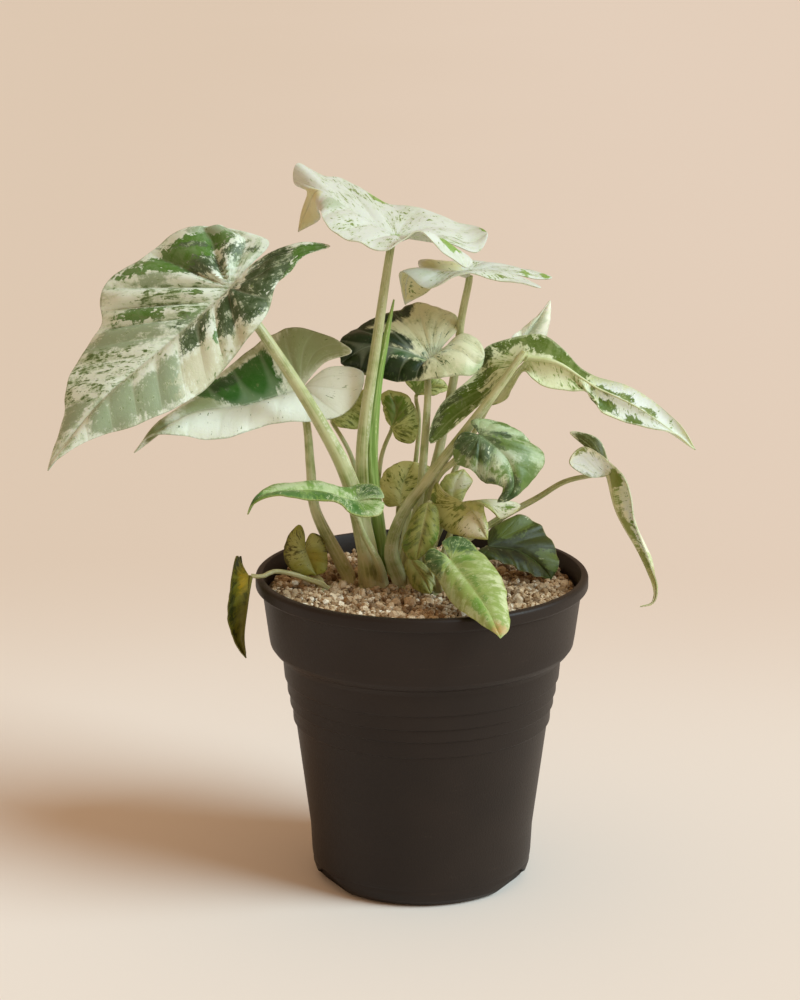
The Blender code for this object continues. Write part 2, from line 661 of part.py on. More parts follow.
def pot_outside():
    """The pot's outer side from the lip to the foot, as radii and heights."""
    points = []
    top, outer, rounding = POT_TOP, LIP_RADIUS, LIP_ROUND
    for angle in (90, 45, 0):
        a = math.radians(angle)
        points.append((outer - rounding + rounding * math.cos(a), top - rounding + rounding * math.sin(a)))
    points.append((outer, top - LIP_HEIGHT + LIP_EDGE))
    points.append((outer - LIP_EDGE, top - LIP_HEIGHT))
    points.extend(COLLAR)
    points.extend(STEP)
    for ridge in RIDGES:
        points.append((wall_radius(ridge + RIDGE_SLOPE) + RIDGE_PROUD, ridge + RIDGE_SLOPE))
        points.append((wall_radius(ridge), ridge))
    points.append(WALL_TAPER[2])
    points.extend(FOOT)
    return points


def pot_inside(gap=0.0):
    """The pot's inner side from the floor's middle up to the lip; gap moves it inwards."""
    rim = (LIP_RADIUS - LIP_ROUND - POT_WALL, POT_TOP)
    outside = (*COLLAR, *STEP[::3], *WALL_TAPER[1:3])
    inside = [(radius - POT_WALL - gap, height) for radius, height in outside]
    ledge = [(radius - gap, height + gap) for radius, height in LEDGE]
    floor = [(FLOOR_RADIUS - gap, POT_FLOOR + gap), (0.0, POT_FLOOR + gap)]
    points = [rim] if gap == 0 else []
    points += inside + ledge + floor
    return points[::-1]


def make_pot():
    """The pot: its outline turned about the middle axis, with three arched drain notches cut in the foot."""
    outline = pot_inside() + pot_outside() + [(0.0, 0.0)]
    bm = bmesh.new()
    verts = [bm.verts.new((radius, 0, height)) for radius, height in outline]
    for a, b in zip(verts, verts[1:]):
        bm.edges.new((a, b))
    pot = new_object("pot", bm)
    screw = pot.modifiers.new("Turn", "SCREW")
    screw.angle = 2 * math.pi
    screw.steps = POT_STEPS
    screw.render_steps = POT_STEPS
    screw.use_merge_vertices = True
    screw.merge_threshold = 0.00001
    screw.use_smooth_shade = True
    for number, angle in enumerate(NOTCH_ANGLES):
        cutter = make_notch_cutter(f"notch_{number + 1}", angle)
        cut = pot.modifiers.new(cutter.name, "BOOLEAN")
        cut.operation = "DIFFERENCE"
        cut.object = cutter
        cut.solver = "EXACT"
    paint(pot)
    return pot


def make_notch_cutter(name, angle):
    """A lying cylinder that cuts one arch in the foot; angle is where it points, from +X."""
    bpy.ops.mesh.primitive_cylinder_add(
        vertices=NOTCH_SIDES, radius=NOTCH_RADIUS * MM, depth=NOTCH_LENGTH * MM
    )
    cutter = bpy.context.object
    cutter.name = name
    turn = math.radians(angle)
    reach = (NOTCH_DEPTH_FROM + NOTCH_LENGTH / 2) * MM
    cutter.location = (reach * math.cos(turn), reach * math.sin(turn), (NOTCH_HEIGHT - NOTCH_RADIUS) * MM)
    cutter.rotation_euler = (math.pi / 2, 0, turn + math.pi / 2)
    cutter.hide_render = True
    cutter.display_type = "WIRE"
    return cutter


def make_pumice():
    """The pumice that fills the pot: its top mounded and bumpy, with a plain hole for each crown."""
    rng = np.random.default_rng(FILL_SEED)
    side = pot_inside(FILL_GAP)
    side = [point for point in side if point[1] < FILL_HEIGHT - 1]
    top_radius = np.interp(FILL_HEIGHT, [COLLAR[1][1], COLLAR[0][1]], [COLLAR[1][0], COLLAR[0][0]])
    top_radius -= POT_WALL + FILL_GAP
    bm = bmesh.new()
    rings = []
    for radius, height in side[1:]:
        rings.append([(radius, height)] * FILL_STEPS)
    for ring in range(FILL_RINGS):
        radius = top_radius * (1 - ring / FILL_RINGS)
        mound = FILL_HEIGHT + FILL_MOUND * (1 - (radius / top_radius) ** 2)
        bumps = rng.uniform(-FILL_BUMP, FILL_BUMP, FILL_STEPS)
        rings.append([(radius, mound + bump) for bump in bumps])
    loops = []
    for ring in rings:
        loop = []
        for step, (radius, height) in enumerate(ring):
            a = 2 * math.pi * step / FILL_STEPS
            loop.append(bm.verts.new((radius * math.cos(a), radius * math.sin(a), height)))
        loops.append(loop)
    bottom = bm.verts.new((0, 0, side[0][1]))
    top = bm.verts.new((0, 0, FILL_HEIGHT + FILL_MOUND))
    for k in range(FILL_STEPS):
        n = (k + 1) % FILL_STEPS
        bm.faces.new((bottom, loops[0][n], loops[0][k]))
        bm.faces.new((top, loops[-1][k], loops[-1][n]))
        for low, high in zip(loops, loops[1:]):
            bm.faces.new((low[k], low[n], high[n], high[k]))
    bmesh.ops.recalc_face_normals(bm, faces=bm.faces)
    bmesh.ops.triangulate(bm, faces=bm.faces)
    pumice = new_object("pumice", bm)
    holes = []
    for name, (x, y, radius) in CROWNS.items():
        middle = (HOLE_BOTTOM + POT_TOP) / 2
        bpy.ops.mesh.primitive_cylinder_add(
            vertices=CROWN_SIDES,
            radius=(radius + HOLE_CLEARANCE) * MM,
            depth=(POT_TOP - HOLE_BOTTOM) * MM,
            location=(x * MM, y * MM, middle * MM),
        )
        holes.append(bpy.context.object)
    boolean(pumice, "DIFFERENCE", holes)
    paint(pumice)
    return pumice


def make_rolled_leaf():
    """The rolled new leaf: a tapering roll that stands on the crown."""
    line, shares = smooth_through(ROLLED_LINE)
    share = np.linspace(0, 1, 2 * len(ROLLED_LINE))
    at = shares[::CURVE_STEPS]
    radii = np.interp(share, at, ROLLED_RADII)
    obj = make_tube("leaf_rolled", point_on(line, shares, share), radii, ROLLED_SIDES)
    for polygon in obj.data.polygons:
        polygon.use_smooth = True
    paint(obj)
    return obj


def main():
    for obj in list(bpy.data.objects):
        bpy.data.objects.remove(obj)
    make_pot()
    make_pumice()
    for name, crown in CROWNS.items():
        make_stems(f"stems_{name}", crown, {n: leaf for n, leaf in LEAVES.items() if leaf.stems == name})
    make_rolled_leaf()
    for name, leaf in LEAVES.items():
        make_blade(f"leaf_{name}", leaf)


main()
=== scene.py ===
# %% [markdown]
# # The potted alocasia, dressed
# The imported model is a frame: plain solids that say where each piece is and how large it is. This lesson
# loads it and gives each piece the surface of the real plant: waved and quilted leaves with splashes of
# white and green, fleshy stalks, gravel grain by grain, and a matte nursery pot. Lengths below are in
# millimetres.

# %% Load the frame
import math

import bpy
import numpy as np
from mathutils import Matrix, Vector


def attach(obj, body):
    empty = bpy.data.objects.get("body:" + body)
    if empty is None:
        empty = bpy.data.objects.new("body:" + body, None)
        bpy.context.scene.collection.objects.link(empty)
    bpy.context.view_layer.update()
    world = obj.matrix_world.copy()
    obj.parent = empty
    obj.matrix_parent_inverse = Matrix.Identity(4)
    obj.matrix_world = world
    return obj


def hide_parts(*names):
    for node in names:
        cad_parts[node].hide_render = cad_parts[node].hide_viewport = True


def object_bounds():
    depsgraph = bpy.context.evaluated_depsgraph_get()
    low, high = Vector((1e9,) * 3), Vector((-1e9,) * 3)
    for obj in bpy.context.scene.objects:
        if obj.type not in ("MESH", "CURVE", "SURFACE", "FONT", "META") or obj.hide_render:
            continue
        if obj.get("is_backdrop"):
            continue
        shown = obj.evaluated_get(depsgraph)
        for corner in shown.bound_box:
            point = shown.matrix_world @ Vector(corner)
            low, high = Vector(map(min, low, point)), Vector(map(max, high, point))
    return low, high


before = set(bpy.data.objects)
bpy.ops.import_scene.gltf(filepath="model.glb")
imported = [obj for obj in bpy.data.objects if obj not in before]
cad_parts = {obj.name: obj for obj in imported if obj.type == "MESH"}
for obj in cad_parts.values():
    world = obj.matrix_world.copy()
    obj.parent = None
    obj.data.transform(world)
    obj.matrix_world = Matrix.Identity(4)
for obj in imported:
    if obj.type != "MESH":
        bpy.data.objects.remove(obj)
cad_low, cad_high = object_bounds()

MM = 0.001
scene = bpy.context.scene
print("nodes in the frame:", len(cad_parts))
print("size in mm:", [round(side / MM, 1) for side in cad_high - cad_low])

# %% [markdown]
# ## The camera
# The photo was taken with a long lens, a little above the plant, so the pot's rim shows as a flat oval. The
# camera stands about a metre away and looks down at an angle that gives that oval.

# %% Camera
CAMERA_AT = (-0.0079, -1.001, 0.4038)
CAMERA_DOWN = 14.73
LENS = 103.97

camera_data = bpy.data.cameras.new("camera")
camera_data.lens = LENS
camera_data.sensor_width = 36
camera = bpy.data.objects.new("camera", camera_data)
camera.location = CAMERA_AT
camera.rotation_euler = (math.radians(90 - CAMERA_DOWN), 0, 0)
scene.collection.objects.link(camera)
scene.camera = camera
print("camera", round(-CAMERA_AT[1] / MM), "mm in front of the pot's middle")

# %% [markdown]
# ## Shader maths in plain expressions
# A material's pattern is a sum of many small steps: a noise, minus a half, times a depth. Adding each
# step by hand hides what it does. One small class holds a socket and lets Python's own signs add the Math
# nodes, and one method adds any other node. It is used by every finish below.


# %% A socket that can be calculated with
class Shade:
    """A node's output, used like a number: each sign adds one Math node to the material."""

    def __init__(self, tree, source=None, output=0):
        self.tree = tree
        self.source = source
        self.socket = source.outputs[output] if source else None

    def __getitem__(self, output):
        return Shade(self.tree, self.source, output)

    def node(self, kind, settings=None, inputs=None, output=0):
        """Add a node: its settings first, then a value or a link for each socket named or numbered."""
        added = self.tree.nodes.new("ShaderNode" + kind)
        for name, value in (settings or {}).items():
            if name == "stops":
                self.fill_ramp(added.color_ramp, value)
            else:
                setattr(added, name, value)
        for name, value in (inputs or {}).items():
            if isinstance(value, Shade):
                self.tree.links.new(value.socket, added.inputs[name])
            else:
                added.inputs[name].default_value = value
        return Shade(self.tree, added, output)

    def fill_ramp(self, ramp, stops):
        """Give a colour ramp its stops, each a place and a colour."""
        while len(ramp.elements) < len(stops):
            ramp.elements.new(1.0)
        for element, (place, colour) in zip(ramp.elements, stops):
            element.position = place
            element.color = colour

    def math(self, operation, *values):
        return self.node("Math", {"operation": operation}, dict(enumerate(values)))

    def __add__(self, other):
        return self.math("ADD", self, other)

    def __sub__(self, other):
        return self.math("SUBTRACT", self, other)

    def __rsub__(self, other):
        return self.math("SUBTRACT", other, self)

    def __mul__(self, other):
        return self.math("MULTIPLY", self, other)

    def __truediv__(self, other):
        return self.math("DIVIDE", self, other)

    __radd__ = __add__
    __rmul__ = __mul__

    def __pow__(self, power):
        return self.math("POWER", self, power)

    def __abs__(self):
        return self.math("ABSOLUTE", self)

    def at_least(self, other):
        return self.math("MAXIMUM", self, other)

    def at_most(self, other):
        return self.math("MINIMUM", self, other)

    def off_whole(self):
        """How far the value is from the nearest whole number."""
        return self.math("PINGPONG", self, 0.5)

    def step(self, low, high):
        """Rise smoothly from 0 at low to 1 at high; high may be the smaller one."""
        inputs = {"Value": self, "From Min": low, "From Max": high}
        return self.node("MapRange", {"interpolation_type": "SMOOTHSTEP"}, inputs)

    def noise(self, place, scale, detail=2.0, roughness=0.5, swirl=0.0):
        """A noise around 0, mostly between -0.25 and 0.25; swirl curls it."""
        inputs = {"Vector": place, "Scale": scale, "Detail": detail, "Roughness": roughness}
        return self.node("TexNoise", {}, {**inputs, "Distortion": swirl}) - 0.5

    def stored(self, name):
        """The value of this name that each vertex of the piece carries."""
        return self.node("Attribute", {"attribute_name": name}, output=2)

    def leaf_map(self):
        """The piece's own map: along it, and with [1] across it."""
        return self.node("SeparateXYZ", {}, {0: self.node("UVMap", {"uv_map": "leaf"})})

    def bump(self, height, strength, distance):
        """A bump from a height; the distance is in millimetres."""
        inputs = {"Strength": strength, "Distance": distance * MM, "Height": height}
        return self.node("Bump", {}, inputs)

    def blend(self, first, second, factor):
        """The first colour where the factor is 0, the second where it is 1."""
        inputs = {0: factor, 6: first, 7: second}
        return self.node("Mix", {"data_type": "RGBA"}, inputs, output=2)

    def vector(self, x, y, z=0.0):
        return self.node("CombineXYZ", {}, {"X": x, "Y": y, "Z": z})


def tone(red, green, blue):
    """A colour as a photo gives it, 0 to 255, turned into the shader's linear one."""
    parts = np.array([red, green, blue]) / 255
    linear = np.where(parts <= 0.04045, parts / 12.92, ((parts + 0.055) / 1.055) ** 2.4)
    return (*(float(part) for part in linear), 1.0)


def new_finish(name):
    """A new material: it, its main shader node, a Shade to add nodes with, and the place on the object."""
    material = bpy.data.materials.new(name)
    material.use_nodes = True
    shade = Shade(material.node_tree)
    return material, material.node_tree.nodes["Principled BSDF"], shade, shade.node("TexCoord")["Object"]


def feed(shader, **values):
    """Set or link the main shader's sockets; an underscore in a name stands for a space."""
    for name, value in values.items():
        socket = shader.inputs[name.replace("_", " ")]
        if isinstance(value, Shade):
            value.tree.links.new(value.socket, socket)
        else:
            socket.default_value = value


print("mid grey in linear:", round(tone(128, 128, 128)[0], 3))

# %% [markdown]
# ## Helpers for modelling
# An operator works on whatever is selected, so each helper first deselects everything and then picks its
# own object. A sheet or a tube starts as a flat grid: its vertices are numbered row by row, which makes
# it easy to put each one where a formula wants it. A tube is a grid rolled up, its seam merged and its
# two ends filled.


# %% Selecting, merging, finishing
MERGE = 0.004 * MM


def select_only(*objects):
    """Deselect everything, then select these objects; the first is the active one."""
    bpy.ops.object.select_all(action="DESELECT")
    for obj in objects:
        obj.select_set(True)
    bpy.context.view_layer.objects.active = objects[0]


def add_grid(name, columns, rows):
    """A flat grid; returns it with each vertex's share across and along."""
    bpy.ops.object.select_all(action="DESELECT")
    bpy.ops.mesh.primitive_grid_add(x_subdivisions=columns, y_subdivisions=rows, size=1)
    obj = bpy.context.object
    obj.name = obj.data.name = name
    flat = get_points(obj)
    return obj, flat[:, 0] + 0.5, flat[:, 1] + 0.5


def get_points(obj):
    values = np.empty(len(obj.data.vertices) * 3)
    obj.data.vertices.foreach_get("co", values)
    return values.reshape(-1, 3)


def set_points(obj, points):
    """Put the vertices at these points, given in millimetres."""
    obj.data.vertices.foreach_set("co", (np.asarray(points) * MM).ravel())
    obj.data.update()


def set_attribute(obj, name, values):
    attribute = obj.data.attributes.new(name, "FLOAT", "POINT")
    attribute.data.foreach_set("value", np.broadcast_to(values, len(obj.data.vertices)).astype(np.float32))


def set_uv(obj, name, across, along):
    """Give the object one UV map, from a value of each kind for every vertex."""
    while obj.data.uv_layers:
        obj.data.uv_layers.remove(obj.data.uv_layers[0])
    corners = np.empty(len(obj.data.loops), int)
    obj.data.loops.foreach_get("vertex_index", corners)
    places = np.stack([np.asarray(across)[corners], np.asarray(along)[corners]], 1)
    obj.data.uv_layers.new(name=name).uv.foreach_set("vector", places.ravel())


def merge(obj, close=False):
    """Merge vertices that lie together; with close, fill the open ends and turn all faces outwards."""
    select_only(obj)
    bpy.ops.object.mode_set(mode="EDIT")
    bpy.ops.mesh.select_all(action="SELECT")
    bpy.ops.mesh.remove_doubles(threshold=MERGE)
    if close:
        bpy.ops.mesh.fill_holes(sides=0)
        bpy.ops.mesh.select_all(action="SELECT")
        bpy.ops.mesh.normals_make_consistent(inside=False)
    bpy.ops.object.mode_set(mode="OBJECT")


def join(name, objects):
    """Join the objects into the first one and give it a name."""
    select_only(*objects)
    if len(objects) > 1:
        bpy.ops.object.join()
    objects[0].name = objects[0].data.name = name
    return objects[0]


def smooth(obj, degrees=50):
    select_only(obj)
    bpy.ops.object.shade_smooth_by_angle(angle=math.radians(degrees))


def apply_all(obj):
    """Apply the object's modifiers from first to last."""
    select_only(obj)
    for modifier in list(obj.modifiers):
        bpy.ops.object.modifier_apply(modifier=modifier.name)


def hand_over(obj, node, slot, *materials):
    """The finished piece stands for a node of the frame, which is hidden, and gets its materials; slot is not
    used.
    """
    if materials:
        obj.data.materials.clear()
        for material in materials:
            obj.data.materials.append(material)
    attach(obj, "root")
    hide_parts(node)


print("vertices nearer than", MERGE / MM, "mm are merged")

# %% [markdown]
# ## Lines and tubes
# Stalks, ribs and edges are all smooth lines through a few points. The same curve formula as in the frame
# is used, so that each fine piece lies where its solid does. A tube carries a ring square to its line at
# each point, and a table of factors can give the rings grooves and wings.


# %% Smooth lines and tubes
CURVE_STEPS = 16


def unit(vectors):
    """The vectors at length one."""
    vectors = np.asarray(vectors, float)
    return vectors / np.maximum(np.linalg.norm(vectors, axis=-1, keepdims=True), 1e-9)


def line_shares(line):
    """For each point of a line, the share of its length up to there."""
    lengths = np.linalg.norm(np.diff(line, axis=0), axis=1)
    return np.concatenate([[0], np.cumsum(lengths)]) / lengths.sum()


def smooth_through(points):
    """A smooth line through the points and, for each of its points, the share of its length up to there."""
    p = np.asarray(points, float)
    p = np.vstack([2 * p[0] - p[1], p, 2 * p[-1] - p[-2]])
    rows = []
    for a, b, c, d in zip(p, p[1:], p[2:], p[3:]):
        for t in np.arange(CURVE_STEPS) / CURVE_STEPS:
            square = 2 * a - 5 * b + 4 * c - d
            cube = 3 * b - a - 3 * c + d
            rows.append(0.5 * (2 * b + (c - a) * t + square * t**2 + cube * t**3))
    rows.append(p[-2])
    line = np.array(rows)
    return line, line_shares(line)


def line_length(line):
    """The length of a line of points."""
    return float(np.linalg.norm(np.diff(line, axis=0), axis=1).sum())


def point_on(line, shares, share):
    """Points of a line at the given shares of its length."""
    return np.stack([np.interp(share, shares, line[:, k]) for k in range(3)], -1)


def make_tube(name, points, radii, sides, factors=1.0):
    """A closed tube along the points; factors, one for each ring and side, change its radius."""
    points = np.asarray(points, float)
    rings = len(points)
    along = unit(np.gradient(points, axis=0))
    side = unit(np.cross(along[0], (0, 1, 0)))
    angles = 2 * math.pi * np.arange(sides + 1) / sides
    reach = np.broadcast_to(factors, (rings, sides + 1)) * np.asarray(radii)[:, None]
    places = []
    for point, direction, radius in zip(points, along, reach):
        side = unit(side - np.dot(side, direction) * direction)
        out = np.outer(np.cos(angles), side) + np.outer(np.sin(angles), np.cross(direction, side))
        places.append(point + radius[:, None] * out)
    tube, across, share = add_grid(name, sides, rings - 1)
    set_points(tube, np.vstack(places))
    set_uv(tube, "leaf", share, across)
    return tube


print("a line of 3 points gets", len(smooth_through([(0, 0, 0), (1, 0, 0), (1, 1, 0)])[0]), "points")

# %% [markdown]
# ## The leaves as points
# Every blade is described by the points of its midrib and its two edges, nearly the same as in the frame.
# Placing them from a few good points is how a leaf is best drawn: the midrib gives the sweep, the
# edges the outline, the back lobes and the notch where the stalk joins.


# %% The leaves
class Leaf:
    """A leaf blade and its stalk, by points (x, y, z) in millimetres.

    midrib runs from the join with the stalk to the tip. right and left are the blade's edges as seen from the
    join with the upper side up: from the notch round the back lobe and forward, without join and tip. The
    first points of an edge, as many as back says, belong to the lobe, and the farthest of them is its tip.
    bulge is how far each half bows up, wave the height, count and phase of its ruffle.
    rows is how many rows the blade has in the frame, which says where its join comes.
    stems names the crown. stalk starts in it and ends below the blade; radii are those of the stalk's ends.
    """

    def __init__(self, midrib, right, left, back, bulge, wave, rows, stems, stalk, radii):
        self.midrib = midrib
        self.edges = (right, left)
        self.back = back
        self.bulge = bulge
        self.wave = wave
        self.rows = rows
        self.stems = stems
        self.stalk = stalk
        self.radii = radii


